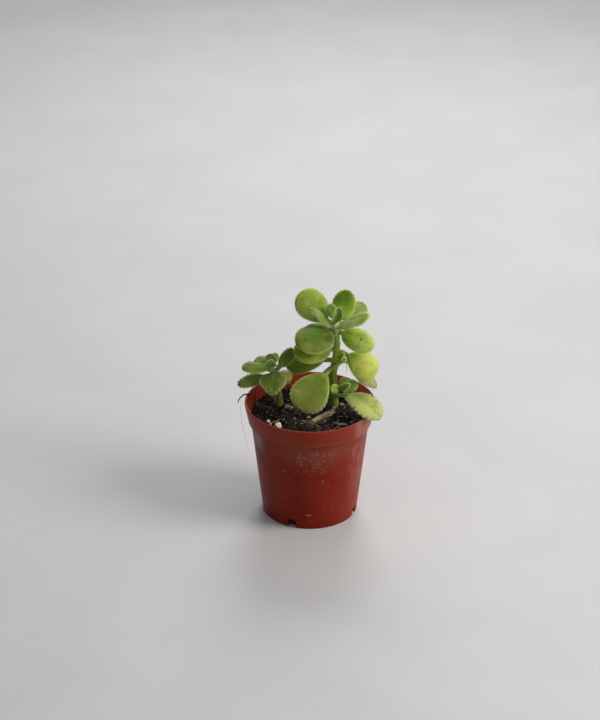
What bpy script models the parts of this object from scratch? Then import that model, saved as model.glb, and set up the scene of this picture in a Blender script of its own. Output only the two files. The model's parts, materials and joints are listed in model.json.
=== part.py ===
# Potted plectranthus: a small fleshy plant with scalloped leaves, in a plastic nursery pot.
# The origin is the middle of the pot's underside, +Z is up and the best side faces -Y.
# Sizes below are in millimetres and become metres where a mesh is made.

import math
import random

import bmesh
import bpy
from mathutils import Matrix, Vector, noise

MM = 0.001
GAP = 0.3                   # between pieces that touch on the real plant

# Pot
POT_HEIGHT = 55
RIM_RADIUS = 30
BAND_HEIGHT = 9
BAND_FOOT_RADIUS = 28.4
STEP_RADIUS = 27.1
BASE_RADIUS = 21.9
WALL = 0.95
FLOOR = 1.2
LIP_ROUND = 0.45
EDGE_BEVEL = 0.4            # at the foot and at the band's lower edge
FLOOR_ROUND = 0.8           # where wall and floor meet inside
POT_SIDES = 64
NOTCH_WIDTH = 4.1
NOTCH_HEIGHT = 4.3
NOTCH_REACH = 3.2           # how far in from the base's edge a notch is cut
NOTCH_COUNT = 4
NOTCH_ANGLE = -112          # degrees round from +X: the notch left of the front

# Soil
SOIL_TOP = 49
LUMP_HEIGHT = 1.05
LUMP_SIZE = 7
CRUMB_HEIGHT = 0.4
CRUMB_SIZE = 2.6
SOIL_SIDES = 48
SOIL_RINGS = 13
SOCKET_SIDES = 24
SOCKET_TOP = 54             # the holes' cutters end clear above the soil

# Each stem: points (x, y, z) up its middle, and its radius at the foot and at the tip
MAIN_STEM = ((11.4, 7, 39), (11.4, 7, 50), (10.7, 7, 57), (10.5, 7, 64.5),
             (11.3, 7, 71), (12.0, 7, 77.5), (12.1, 7, 84.5), (11.1, 7, 91.6))
MAIN_STEM_RADII = (1.8, 1.25)
LEFT_STEM = ((-14, 7.9, 39), (-14, 7.9, 50), (-14.7, 7.6, 56), (-16.1, 6.9, 63),
             (-17.5, 6, 68.5))
LEFT_STEM_RADII = (1.7, 1.1)
STEM_SIDES = 12
STEM_RINGS = 22
STEM_STRAIGHT = 0.15        # share of a stem, from its foot, that doesn't thin
JOINT_SWELLING = 0.15       # of the radius, where a leaf leaves the stem
JOINT_SPREAD = 0.018        # of the stem's length

# Leaves: a margin is plain for a share of its length and scalloped from there to the tip
LARGE_MARGIN = dict(plain_share=0.45, pitch=1.8, depth=0.32)
YOUNG_MARGIN = dict(plain_share=0.7, pitch=2.2, depth=0.12)
LARGE_LEAF = dict(thickness=1.5, stalk_radius=0.75, margin=LARGE_MARGIN)
YOUNG_LEAF = dict(thickness=0.9, stalk_radius=0.5, margin=YOUNG_MARGIN, stalk=0.08, arch=0.3)
MARGIN_THICKNESS = 0.7
FOOT_CLEARANCE = 0.3        # of a stalk's foot from its stem, besides the gap
BLADE_FOOT = 0.12           # how bluntly a blade starts on its stalk, 0 being bluntest
PLAIN_STEP = 2.2            # between points of the plain margin
MIDRIB_STEP = 2.4           # between points of the midrib
INNER_LINE = 0.6            # where the middle line of points runs, from midrib to margin
INNER_REACH = 0.85          # how far it and the midrib run along the blade
STALK_SECTION = {"margin": 0.42, "inner": 0.8, "midrib": 1.0}   # shares of its radius
INNER_THICKNESS = 0.85      # of the blade's thickness at the midrib
MARGIN_WAVE = 0.25
SCALLOP = ((0, -0.6), (0.3, 0.4), (0.7, 0.4))   # its points, as shares of pitch and depth
CROWN = 0.4                 # of the depth, at the leaf's tip
GROWING_SCALLOPS = 3        # the first ones, which aren't full depth yet
LAST_SCALLOP = 0.25         # of the pitch kept free before the tip
LEAST_HALF_WIDTH = 0.05
SHOOT_TAPER = 0.35          # of the core's radius, from its foot to its end

# Each leaf: its height on the stem, where its tip ends, its width, the way its upper face
# looks, its arch along the midrib, its droop to the margins, its stalk as a share of its
# length, how far its widest place lies from its middle towards its tip, and its colour.
# A point, where one is given, narrows the blade towards its tip, and a taper towards
# its foot
MAIN_LEAVES = {
    "leaf_top_left_back": dict(
        height=90.4, tip=(-5.0, 17, 102.0), width=14.0, face=(0.1, -0.85, 0.5),
        arch=1.0, droop=1.5, stalk=0.14, fullness=0.15, colour="fresh"),
    "leaf_top_left_edge": dict(
        height=91.0, tip=(-0.3, 1.5, 101.0), width=4.8, face=(0.0, -0.35, 0.9),
        arch=0.6, droop=0.6, stalk=0.08, fullness=0.35, colour="pale"),
    "leaf_top_back": dict(
        height=90.4, tip=(17.4, 15, 104.4), width=10.2, face=(0.0, -0.9, 0.4),
        arch=0.6, droop=1.0, stalk=0.12, fullness=0.0, colour="dark"),
    "leaf_top_right_small": dict(
        height=88.3, tip=(25.2, 19, 95.4), width=8.0, face=(0.0, -0.75, 0.65),
        arch=0.5, droop=0.5, stalk=0.25, fullness=0.45, colour="pale"),
    "leaf_top_right_front": dict(
        height=90.0, tip=(27.0, 1, 97.7), width=8.0, face=(-0.1, -0.3, 0.95),
        arch=0.6, droop=0.7, stalk=0.04, fullness=0.15, colour="pale"),
    "leaf_upper_front_left": dict(
        height=86.0, tip=(-6.3, -7.5, 87.4), width=14.6, face=(-0.15, -0.75, 0.75),
        arch=2.0, droop=2.0, stalk=0.03, fullness=0.02, colour="mid"),
    "leaf_upper_left_back": dict(
        height=87.6, tip=(-4.2, 14, 81.9), width=8.2, face=(-0.1, -0.6, 0.8),
        arch=1.8, droop=1.0, stalk=0.10, fullness=0.05, colour="pale"),
    "leaf_upper_right": dict(
        height=87.0, tip=(29.2, 1, 81.6), width=10.2, face=(0.1, -0.9, 0.6),
        arch=1.6, droop=1.5, stalk=0.06, fullness=0.02, colour="fresh"),
    "leaf_middle_front_left": dict(
        height=78.6, tip=(-7.6, -4, 81.4), width=11.4, face=(-0.2, -0.75, 0.65),
        arch=2.0, droop=2.0, stalk=0.08, fullness=0.10, colour="mid"),
    "leaf_middle_right": dict(
        height=77.0, tip=(30.6, 3, 67.3), width=12.8, face=(0.15, -0.9, 0.6),
        arch=1.8, droop=1.8, stalk=0.18, fullness=0.05, taper=0.30, colour="yellow"),
    "leaf_middle_left_dark": dict(
        height=72.4, tip=(-11.4, 12.5, 68.3), width=12.0, face=(-0.1, -0.7, 0.7),
        arch=1.5, droop=1.2, stalk=0.16, fullness=0.25, colour="dark"),
    "leaf_low_front_left": dict(
        height=68.8, tip=(-5.0, -10.5, 55.8), width=17.4, face=(-0.15, -0.9, 0.6),
        arch=2.6, droop=1.5, stalk=0.16, fullness=0.24, taper=0.28, colour="mid"),
    "leaf_low_right_back": dict(
        height=73.5, tip=(31.0, 10.5, 56.4), width=9.0, face=(0.1, -0.5, 0.9),
        arch=2.0, droop=0.8, stalk=0.25, fullness=-0.10, point=0.45, colour="mid"),
    "leaf_base_right_front": dict(
        height=54.9, tip=(31.4, -18.2, 55.3), width=11.6, face=(0.1, -0.40, 0.92),
        arch=4.8, droop=0.6, stalk=0.30, fullness=0.32, colour="yellow"),
    "leaf_middle_back": dict(
        height=81.0, tip=(0.5, 20, 79.5), width=11.0, face=(-0.2, 0.3, 0.9),
        arch=1.5, droop=1.5, stalk=0.15, fullness=0.30, colour="mid"),
    "leaf_base_left_back": dict(
        height=55.0, tip=(0.6, 17, 53.8), width=9.5, face=(-0.2, 0.2, 0.9),
        arch=1.5, droop=1.2, stalk=0.25, fullness=0.40, colour="mid"),
}
LEFT_LEAVES = {
    "leaf_left_upper": dict(
        height=68.7, tip=(-31.3, 1, 71.3), width=6.4, face=(0.0, -0.45, 0.9),
        arch=1.4, droop=0.8, stalk=0.12, fullness=0.10, colour="fresh"),
    "leaf_left_lower": dict(
        height=65.2, tip=(-33.3, 1, 62.6), width=6.0, face=(-0.1, -0.6, 0.8),
        arch=1.0, droop=0.8, stalk=0.20, fullness=0.15, colour="dark"),
    "leaf_left_front": dict(
        height=66.6, tip=(-17.0, -7, 61.2), width=11.4, face=(0.0, -0.75, 0.7),
        arch=1.4, droop=1.0, stalk=0.06, fullness=-0.15, point=0.45, colour="mid"),
    "leaf_left_right_front": dict(
        height=66.4, tip=(-8.3, 4.5, 63.2), width=6.4, face=(0.2, -0.6, 0.8),
        arch=1.0, droop=0.8, stalk=0.12, fullness=0.10, colour="yellow"),
    "leaf_left_back": dict(
        height=67.4, tip=(-24.8, 11.5, 71.7), width=7.4, face=(0.0, -0.4, 0.9),
        arch=0.6, droop=0.6, stalk=0.20, fullness=-0.05, colour="pale"),
    "leaf_left_right_up": dict(
        height=68.1, tip=(-6.9, 7.2, 78.4), width=5.8, face=(-0.1, -0.85, 0.5),
        arch=0.8, droop=1.0, stalk=0.20, fullness=0.15, colour="dark"),
}

# Each shoot: the line of its short core, the core's radius, and its young leaves as
# (foot, tip, width, face, droop, fullness)
SHOOTS = {
    "tip_bud": dict(
        core=((11.0, 7.0, 92.2), (10.8, 6.8, 94.2)), radius=0.95, colour="fresh", leaves=(
            ((10.6, 7.2, 93.2), (8.8, 9.0, 100.0), 5.0, (0.3, -0.9, 0.3), 0.6, 0.20),
            ((11.1, 6.3, 93.2), (13.0, 4.6, 100.6), 3.4, (0.25, -0.9, 0.4), -0.9, 0.10))),
    "left_bud": dict(
        core=((-17.7, 5.9, 69.2), (-18.0, 5.7, 71.0)), radius=0.9, colour="fresh", leaves=(
            ((-17.9, 6.2, 70.0), (-17.8, 7.6, 75.7), 5.2, (0.0, -0.9, 0.4), 0.6, 0.0),
            ((-17.7, 6.4, 70.2), (-15.4, 10.6, 74.4), 3.6, (0.1, -0.5, 0.85), 0.4, 0.10),
            ((-18.0, 5.4, 69.9), (-18.2, 3.2, 74.8), 5.4, (0.0, -0.8, 0.6), -0.9, 0.0))),
    "middle_side_shoot": dict(
        core=((12.5, 4.75, 72.8), (13.8, 3.1, 74.0)), radius=0.55, colour="mid", leaves=(
            ((13.6, 3.3, 73.8), (15.7, 1.0, 79.0), 3.0, (-0.5, -0.6, 0.5), -0.5, 0.10),
            ((13.7, 3.2, 73.7), (16.6, 0.9, 75.2), 2.8, (0.0, -0.6, 0.8), 0.4, 0.10))),
    "low_side_shoot": dict(
        core=((12.5, 5.4, 57.6), (14.1, 4.1, 59.3)), radius=0.7, colour="mid", leaves=(
            ((13.9, 4.4, 58.8), (22.0, 5.4, 61.4), 5.8, (0.0, -0.9, 0.5), 0.8, 0.0),
            ((13.8, 4.1, 58.8), (18.5, 1.2, 63.4), 3.0, (0.1, -0.85, 0.5), -0.7, 0.0),
            ((13.4, 4.2, 58.4), (9.3, 0.2, 61.9), 4.2, (0.0, -0.9, 0.45), 0.4, 0.10),
            ((14.2, 4.6, 58.8), (16.0, 8.0, 63.2), 3.2, (0.0, -0.9, 0.4), 0.4, 0.10))),
}

# What lies on the soil: the bark's two ends, and each grain's place and radius
BARK_ENDS = ((0.9, -9.9), (11.2, 1.4))
BARK_WIDTH = 3.3
BARK_THICKNESS = 1.2
BARK_SECTION = ((-0.5, 0.0), (0.5, 0.0), (0.42, 0.55), (0.16, 0.8), (-0.05, 1.0),
                (-0.28, 0.7), (-0.46, 0.45))   # (side, rise), as shares of width and thickness
BARK_STATIONS = 9
BARK_END_WIDTH = 0.55       # of the width, where the sliver runs out
BARK_WAVER = 0.25           # sideways
BARK_UNEVEN = 0.2           # of the thickness
GRAINS = {
    "perlite_grain_1": (-14.2, -15.6, 1.9),
    "perlite_grain_2": (-19.1, -10.1, 0.9),
    "perlite_grain_3": (-8.8, 2.4, 1.2),
    "perlite_grain_4": (-7.1, -7.5, 0.8),
    "perlite_grain_5": (18.6, -11.4, 0.9),
}
GRAIN_LUMPS = 0.22
GRAIN_FLAT = 0.55           # of the radius, from the middle down to the flat underside
SEAT_MARGIN = 1.4           # flat soil kept round what lies on it
SEAT_SLOPE = 2              # from the flat to the full relief

# Colour, roughness
FINISHES = {
    "pot_plastic": ((0.33, 0.055, 0.030), 0.42),
    "soil": ((0.018, 0.012, 0.009), 0.95),
    "stem": ((0.150, 0.190, 0.040), 0.60),
    "fresh": ((0.180, 0.290, 0.040), 0.55),
    "mid": ((0.120, 0.220, 0.035), 0.55),
    "dark": ((0.050, 0.120, 0.018), 0.55),
    "pale": ((0.260, 0.340, 0.120), 0.60),
    "yellow": ((0.380, 0.430, 0.090), 0.55),
    "bark": ((0.300, 0.220, 0.120), 0.90),
    "perlite": ((0.740, 0.700, 0.620), 0.90),
}


def clear_scene():
    for obj in list(bpy.data.objects):
        bpy.data.objects.remove(obj, do_unlink=True)


def finish(name):
    """The named material, made the first time it is asked for."""
    if name in bpy.data.materials:
        return bpy.data.materials[name]
    colour, roughness = FINISHES[name]
    material = bpy.data.materials.new(name)
    material.use_nodes = True
    shader = material.node_tree.nodes["Principled BSDF"]
    shader.inputs["Base Color"].default_value = (*colour, 1)
    shader.inputs["Roughness"].default_value = roughness
    shader.inputs["Metallic"].default_value = 0
    return material


def add_object(name, mesh, material, location=(0, 0, 0), turn=None):
    """An object at a place given in millimetres, its rotation given as a 3x3 matrix."""
    obj = bpy.data.objects.new(name, mesh)
    bpy.context.scene.collection.objects.link(obj)
    mesh.materials.append(finish(material))
    mesh.shade_smooth()
    mesh.set_sharp_from_angle(angle=math.radians(40))
    place = Matrix.Translation(Vector(location) * MM)
    if turn:
        place = place @ turn.to_4x4()
    obj.matrix_world = place
    return obj


def mesh_from(name, points, faces):
    """A closed mesh from points in millimetres, with its faces turned outwards."""
    mesh = bpy.data.meshes.new(name)
    mesh.from_pydata([Vector(p) * MM for p in points], [], faces)
    bm = bmesh.new()
    bm.from_mesh(mesh)
    bmesh.ops.triangulate(bm, faces=bm.faces[:])
    bmesh.ops.recalc_face_normals(bm, faces=bm.faces[:])
    bm.to_mesh(mesh)
    bm.free()
    return mesh


def turned(name, profile, sides):
    """A closed profile of (radius, height) points turned round the Z axis."""
    points = []
    faces = []
    rings = []
    for radius, height in profile:
        if radius == 0:
            rings.append([len(points)] * sides)
            points.append((0, 0, height))
            continue
        rings.append([len(points) + i for i in range(sides)])
        for i in range(sides):
            angle = 2 * math.pi * i / sides
            points.append((radius * math.cos(angle), radius * math.sin(angle), height))
    for lower, upper in zip(rings, rings[1:]):
        for i in range(sides):
            j = (i + 1) % sides
            corners = (lower[i], lower[j], upper[j], upper[i])
            faces.append(tuple(dict.fromkeys(corners)))
    return mesh_from(name, points, faces)


def apply_modifiers(obj):
    """Keep the shape that the modifiers give, and remove them."""
    graph = bpy.context.evaluated_depsgraph_get()
    mesh = bpy.data.meshes.new_from_object(obj.evaluated_get(graph))
    obj.modifiers.clear()
    obj.data = mesh


def boolean_with(obj, others, operation):
    """Join the other objects to this one, or cut them from it, and remove them."""
    group = bpy.data.collections.new(obj.name + "_tools")
    bpy.context.scene.collection.children.link(group)
    for other in others:
        group.objects.link(other)
    modifier = obj.modifiers.new(operation.lower(), "BOOLEAN")
    modifier.operation = operation
    modifier.operand_type = "COLLECTION"
    modifier.collection = group
    modifier.solver = "EXACT"
    bpy.context.view_layer.update()
    apply_modifiers(obj)
    for other in others:
        bpy.data.objects.remove(other, do_unlink=True)
    bpy.data.collections.remove(group)


def box_cutter(name, low, high, turn_angle):
    """A box from low to high corners in millimetres, turned round the Z axis."""
    bm = bmesh.new()
    bmesh.ops.create_cube(bm, size=1)
    size = Vector(high) - Vector(low)
    middle = (Vector(high) + Vector(low)) / 2
    bmesh.ops.scale(bm, vec=size * MM, verts=bm.verts)
    bmesh.ops.translate(bm, vec=middle * MM, verts=bm.verts)
    bmesh.ops.rotate(bm, matrix=Matrix.Rotation(turn_angle, 3, "Z"), verts=bm.verts)
    mesh = bpy.data.meshes.new(name)
    bm.to_mesh(mesh)
    bm.free()
    cutter = bpy.data.objects.new(name, mesh)
    bpy.context.scene.collection.objects.link(cutter)
    cutter.hide_render = True
    cutter.display_type = "WIRE"
    return cutter


def wall_radius(height):
    """The outer radius of the pot's tapered wall at a height."""
    share = height / (POT_HEIGHT - BAND_HEIGHT)
    return BASE_RADIUS + (STEP_RADIUS - BASE_RADIUS) * share


def inner_radius(height):
    """The radius of the pot's inside at a height: the wall, then the wider rim."""
    step = POT_HEIGHT - BAND_HEIGHT
    if height <= step:
        return wall_radius(height) - WALL
    share = (height - step) / BAND_HEIGHT
    at_step = STEP_RADIUS - WALL
    at_rim = RIM_RADIUS - WALL - 2 * LIP_ROUND / 3
    return at_step + (at_rim - at_step) * share


def build_pot():
    """One moulded shell with a rounded lip, a rim band, and notches in its foot."""
    step = POT_HEIGHT - BAND_HEIGHT
    profile = [(0, 0), (BASE_RADIUS - EDGE_BEVEL, 0), (BASE_RADIUS, EDGE_BEVEL)]
    profile.append((STEP_RADIUS, step - EDGE_BEVEL / 2))
    profile.append((BAND_FOOT_RADIUS - EDGE_BEVEL, step))
    profile.append((BAND_FOOT_RADIUS, step + EDGE_BEVEL))
    profile.append((RIM_RADIUS, POT_HEIGHT - LIP_ROUND))
    lip_middle = RIM_RADIUS - LIP_ROUND
    for degrees in (45, 90, 135):
        angle = math.radians(degrees)
        out = LIP_ROUND * math.cos(angle)
        rise = LIP_ROUND * math.sin(angle)
        profile.append((lip_middle + out, POT_HEIGHT - LIP_ROUND + rise))
    for height in (POT_HEIGHT - 2 * LIP_ROUND, step, FLOOR + FLOOR_ROUND):
        profile.append((inner_radius(height), height))
    profile.append((inner_radius(FLOOR) - FLOOR_ROUND, FLOOR))
    profile.append((0, FLOOR))
    pot = add_object("pot", turned("pot", profile, POT_SIDES), "pot_plastic")
    cutters = []
    for i in range(NOTCH_COUNT):
        angle = math.radians(NOTCH_ANGLE + 360 * i / NOTCH_COUNT)
        cutters.append(box_cutter(
            "notch_cutter_%d" % i, (BASE_RADIUS - NOTCH_REACH, -NOTCH_WIDTH / 2, -1),
            (STEP_RADIUS, NOTCH_WIDTH / 2, NOTCH_HEIGHT), angle))
    boolean_with(pot, cutters, "DIFFERENCE")
    return pot


def rest_places():
    """Where pieces lie on the soil, as (x, y, radius) of a flat seat."""
    seats = [(x, y, radius) for x, y, radius in GRAINS.values()]
    start = Vector(BARK_ENDS[0])
    end = Vector(BARK_ENDS[1])
    for i in range(5):
        spot = start.lerp(end, i / 4)
        seats.append((spot.x, spot.y, BARK_WIDTH / 2))
    return seats


def soil_height(x, y):
    """Height of the lumpy soil, smoothed down to flat seats under what lies on it."""
    lumps = noise.noise(Vector((x / LUMP_SIZE, y / LUMP_SIZE, 3.1)))
    crumbs = noise.noise(Vector((x / CRUMB_SIZE, y / CRUMB_SIZE, 8.7)))
    relief = LUMP_HEIGHT * lumps + CRUMB_HEIGHT * crumbs
    for seat_x, seat_y, radius in rest_places():
        away = math.hypot(x - seat_x, y - seat_y) - radius - SEAT_MARGIN
        relief *= min(1, max(0, away / SEAT_SLOPE))
    return SOIL_TOP + relief


def build_soil():
    """A plug that fills the pot, with a lumpy top and a plain hole for each stem."""
    points = []
    faces = []
    top_radius = inner_radius(SOIL_TOP) - GAP
    rings = []
    for ring in range(1, SOIL_RINGS + 1):
        radius = top_radius * ring / SOIL_RINGS
        row = []
        for i in range(SOIL_SIDES):
            angle = 2 * math.pi * (i + 0.5 * (ring % 2)) / SOIL_SIDES
            x = radius * math.cos(angle)
            y = radius * math.sin(angle)
            row.append(len(points))
            height = SOIL_TOP if ring == SOIL_RINGS else soil_height(x, y)
            points.append((x, y, height))
        rings.append(row)
    step = POT_HEIGHT - BAND_HEIGHT
    bottom = FLOOR + GAP
    for height in (step, bottom + FLOOR_ROUND, bottom):
        radius = inner_radius(height) - GAP - (FLOOR_ROUND if height == bottom else 0)
        row = []
        for i in range(SOIL_SIDES):
            angle = 2 * math.pi * (i + 0.5) / SOIL_SIDES
            row.append(len(points))
            points.append((radius * math.cos(angle), radius * math.sin(angle), height))
        rings.append(row)
    for upper, lower in zip(rings, rings[1:]):
        for i in range(SOIL_SIDES):
            j = (i + 1) % SOIL_SIDES
            faces.append((upper[i], lower[i], lower[j], upper[j]))
    top_middle = len(points)
    points.append((0, 0, soil_height(0, 0)))
    bottom_middle = len(points)
    points.append((0, 0, bottom))
    for i in range(SOIL_SIDES):
        j = (i + 1) % SOIL_SIDES
        faces.append((top_middle, rings[0][i], rings[0][j]))
        faces.append((bottom_middle, rings[-1][j], rings[-1][i]))
    soil = add_object("soil", mesh_from("soil", points, faces), "soil")
    sockets = []
    for stem, radii in ((MAIN_STEM, MAIN_STEM_RADII), (LEFT_STEM, LEFT_STEM_RADII)):
        foot = stem[0]
        radius = (radii[0] + GAP) / math.cos(math.pi / SOCKET_SIDES)
        profile = [(0, foot[2] - GAP), (radius, foot[2] - GAP),
                   (radius, SOCKET_TOP), (0, SOCKET_TOP)]
        mesh = turned("socket_cutter", profile, SOCKET_SIDES)
        cutter = add_object("socket_cutter", mesh, "soil", (foot[0], foot[1], 0))
        cutter.hide_render = True
        cutter.display_type = "WIRE"
        sockets.append(cutter)
    boolean_with(soil, sockets, "DIFFERENCE")
    return soil


def smooth_path(points, share):
    """A point on the smooth curve through the points, share running from 0 to 1."""
    place = share * (len(points) - 1)
    i = min(int(place), len(points) - 2)
    t = place - i
    p1 = Vector(points[i])
    p2 = Vector(points[i + 1])
    p0 = Vector(points[i - 1]) if i > 0 else 2 * p1 - p2
    p3 = Vector(points[i + 2]) if i + 2 < len(points) else 2 * p2 - p1
    curve = 2 * p1 + (p2 - p0) * t + (2 * p0 - 5 * p1 + 4 * p2 - p3) * t ** 2
    return (curve + (3 * p1 - p0 - 3 * p2 + p3) * t ** 3) / 2


def stem_at(stem, height):
    """The stem's middle at a height, and how far up its curve that is."""
    low = 0.0
    high = 1.0
    for _ in range(30):
        share = (low + high) / 2
        if smooth_path(stem, share).z < height:
            low = share
        else:
            high = share
    return smooth_path(stem, low), low


def stem_radius(radii, share, joints=()):
    """The stem thins upwards and swells a little where leaves leave it."""
    swelling = sum(math.exp(-((share - joint) / JOINT_SPREAD) ** 2) for joint in joints)
    taper = max(0, (share - STEM_STRAIGHT) / (1 - STEM_STRAIGHT))
    return radii[0] + (radii[1] - radii[0]) * taper + JOINT_SWELLING * min(1, swelling)


def tube(name, path, radius_at, rings, sides):
    """A round closed tube along a path, both given by a share from 0 to 1."""
    points = []
    faces = []
    for ring in range(rings):
        share = ring / (rings - 1)
        middle = path(share)
        along = (path(min(1, share + 0.01)) - path(max(0, share - 0.01))).normalized()
        side = along.cross(Vector((0, 1, 0))).normalized()
        front = side.cross(along)
        radius = radius_at(share)
        for i in range(sides):
            angle = 2 * math.pi * i / sides
            points.append(middle + (side * math.cos(angle) + front * math.sin(angle)) * radius)
    for ring in range(rings - 1):
        for i in range(sides):
            j = (i + 1) % sides
            a = ring * sides
            faces.append((a + i, a + j, a + sides + j, a + sides + i))
    faces.append(tuple(range(sides)))
    faces.append(tuple(range((rings - 1) * sides, rings * sides)))
    return mesh_from(name, points, faces)


def build_stem(name, stem, radii, leaves):
    joints = [stem_at(stem, leaf["height"])[1] for leaf in leaves.values()]
    mesh = tube(name, lambda share: smooth_path(stem, share),
                lambda share: stem_radius(radii, share, joints), STEM_RINGS, STEM_SIDES)
    return add_object(name, mesh, "stem")


def blade_line(length, stalk_length, width, fullness, point, taper, stalk_radius):
    """Half of a blade's smooth outline, from foot to tip, as (turn, x, y) points.

    The turn runs from 0 at the blade's foot to 1 at its tip, and is below 0 on the stalk."""
    def half_width(turn):
        angle = math.pi * turn
        along = (1 - math.cos(angle)) / 2
        full = (1 - fullness * math.cos(angle)) * (1 - point * along ** 2)
        return math.sin(angle) * full * along ** taper
    widest = max(half_width(i / 100) for i in range(1, 100))
    line = [(-0.2 + 0.1 * i, stalk_length * i / 2, stalk_radius) for i in range(2)]
    steps = 160
    for i in range(steps + 1):
        turn = i / steps
        x = stalk_length + (length - stalk_length) * (1 - math.cos(math.pi * turn)) / 2
        blade = 0 if i in (0, steps) else half_width(turn) / widest * width / 2
        y = blade + stalk_radius * math.cos(math.pi * turn / 2) ** 2
        line.append((turn, x, max(0, y)))
    line[-1] = (1, length, 0)
    return line


def margin_points(line, plain_share, pitch, depth):
    """The outline with its plain part thinned out and its outer part scalloped."""
    lengths = [0.0]
    for (_, x0, y0), (_, x1, y1) in zip(line, line[1:]):
        lengths.append(lengths[-1] + math.hypot(x1 - x0, y1 - y0))

    def at_length(wanted):
        i = 1
        while i < len(line) - 1 and lengths[i] < wanted:
            i += 1
        t = (wanted - lengths[i - 1]) / (lengths[i] - lengths[i - 1])
        a = line[i - 1]
        b = line[i]
        spot = [a[k] + (b[k] - a[k]) * t for k in range(3)]
        out_x = -(b[2] - a[2])
        out_y = b[1] - a[1]
        size = math.hypot(out_x, out_y)
        return spot, out_x / size, out_y / size

    total = lengths[-1]
    start = total * plain_share
    margin = [line[0], line[1]]
    plain_steps = max(3, round((start - lengths[1]) / PLAIN_STEP))
    for i in range(1, plain_steps):
        margin.append(tuple(at_length(lengths[1] + (start - lengths[1]) * i / plain_steps)[0]))
    teeth = max(2, round((total - start) / pitch - 0.5))
    step = (total - start) / (teeth + 0.5)
    for tooth in range(teeth + 1):
        for part, height in SCALLOP:
            wanted = start + step * (tooth + part)
            if wanted > total - LAST_SCALLOP * step:
                continue
            (turn, x, y), out_x, out_y = at_length(wanted)
            rise = depth * height * min(1, (tooth + 1) / GROWING_SCALLOPS)
            margin.append((turn, x + out_x * rise, max(LEAST_HALF_WIDTH, y + out_y * rise)))
    margin.append((1, line[-1][1] + CROWN * depth, 0))
    return margin


def outline_at(line, wanted):
    """The turn and half width of a smooth outline at a place along the leaf."""
    i = 1
    while i < len(line) - 1 and line[i][1] < wanted:
        i += 1
    (turn0, x0, y0), (turn1, x1, y1) = line[i - 1:i + 1]
    t = (wanted - x0) / (x1 - x0)
    return turn0 + (turn1 - turn0) * t, y0 + (y1 - y0) * t


def zip_lines(first, second):
    """Triangles between two lines of (x, index), which may share their ends."""
    triangles = []
    i = 0
    j = 0
    while i < len(first) - 1 or j < len(second) - 1:
        step_first = j == len(second) - 1
        if i < len(first) - 1 and not step_first:
            step_first = first[i + 1][0] <= second[j + 1][0]
        if step_first:
            corners = (first[i][1], first[i + 1][1], second[j][1])
            i += 1
        else:
            corners = (first[i][1], second[j + 1][1], second[j][1])
            j += 1
        if len(set(corners)) == 3:
            triangles.append(corners)
    return triangles


def leaf_mesh(name, length, width, fullness, droop, stalk, arch, thickness, stalk_radius,
              margin, seed, point=0, taper=BLADE_FOOT):
    """A fleshy leaf along +X with its upper face to +Z, its foot at the origin.

    Both faces are the same net of triangles, between the margin, a line part way in
    and the midrib, matched by their places along the leaf so that no triangle folds
    over another and the waved blade never crosses itself."""
    stalk_length = length * stalk
    line = blade_line(length, stalk_length, width, fullness, point, taper, stalk_radius)
    edge = margin_points(line, **margin)
    inner_count = max(5, round(length / MIDRIB_STEP))
    wave_start = random.Random(seed).uniform(0, 2 * math.pi)
    blade_half = thickness / 2
    margin_half = MARGIN_THICKNESS / 2

    def half_thickness(level, turn):
        on_blade = min(1, max(0, (turn + 0.02) / 0.3))
        stalk_part = STALK_SECTION[level] * stalk_radius
        blade_part = {"margin": margin_half, "inner": blade_half * INNER_THICKNESS,
                      "midrib": blade_half}[level]
        return stalk_part + (blade_part - stalk_part) * on_blade

    def place(x, y, half, upper):
        along = x / length
        across = y / (width / 2)
        phase = wave_start + 9 * along + (2 if y < 0 else 0)
        wave = MARGIN_WAVE * across ** 2 * math.sin(phase)
        height = 4 * arch * along * (1 - along) - droop * across ** 2 + wave
        return (x, y, height + (half if upper else -half))

    entries = []
    lines = {}
    for key, sign in (("left", 1), ("right", -1)):
        row = []
        for turn, x, y in edge:
            if turn == 1 and key == "right":
                row.append(lines["left"][-1])
                continue
            entries.append((x, sign * y, half_thickness("margin", turn)))
            row.append((x, len(entries) - 1))
        lines[key] = row
    inner_reach = (length - stalk_length) * INNER_REACH
    places = [0, stalk_length / 2]
    for i in range(inner_count):
        share = (1 - math.cos(math.pi * i / inner_count)) / 2
        places.append(stalk_length + inner_reach * share)
    inner_tip = stalk_length + inner_reach
    entries.append((inner_tip, 0, half_thickness("inner", 1)))
    shared_tip = (inner_tip, len(entries) - 1)
    for key, side, level in (("inner_left", INNER_LINE, "inner"),
                             ("inner_right", -INNER_LINE, "inner"), ("midrib", 0, "midrib")):
        row = []
        for x in places:
            turn, half_width = outline_at(line, x)
            entries.append((x, side * half_width, half_thickness(level, turn)))
            row.append((x, len(entries) - 1))
        lines[key] = row + [shared_tip]

    net = []
    for outer, middle in (("left", "inner_left"), ("right", "inner_right")):
        net += zip_lines(lines[outer], lines[middle])
        net += zip_lines(lines[middle], lines["midrib"])
    count = len(entries)
    points = [place(x, y, half, True) for x, y, half in entries]
    points += [place(x, y, half, False) for x, y, half in entries]
    faces = list(net)
    faces += [tuple(count + i for i in reversed(corners)) for corners in net]
    rim = [i for _, i in reversed(lines["left"])]
    rim += [lines[key][0][1] for key in ("inner_left", "midrib", "inner_right")]
    rim += [i for _, i in lines["right"][:-1]]
    for a, b in zip(rim, rim[1:] + rim[:1]):
        faces.append((a, b, count + b))
        faces.append((a, count + b, count + a))
    return mesh_from(name, points, faces)


def leaf_turn(direction, face):
    """The rotation that lays a leaf's +X along a direction and its +Z to a face."""
    along = Vector(direction).normalized()
    normal = Vector(face)
    normal = (normal - along * normal.dot(along)).normalized()
    across = normal.cross(along)
    return Matrix((along, across, normal)).transposed()


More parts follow.
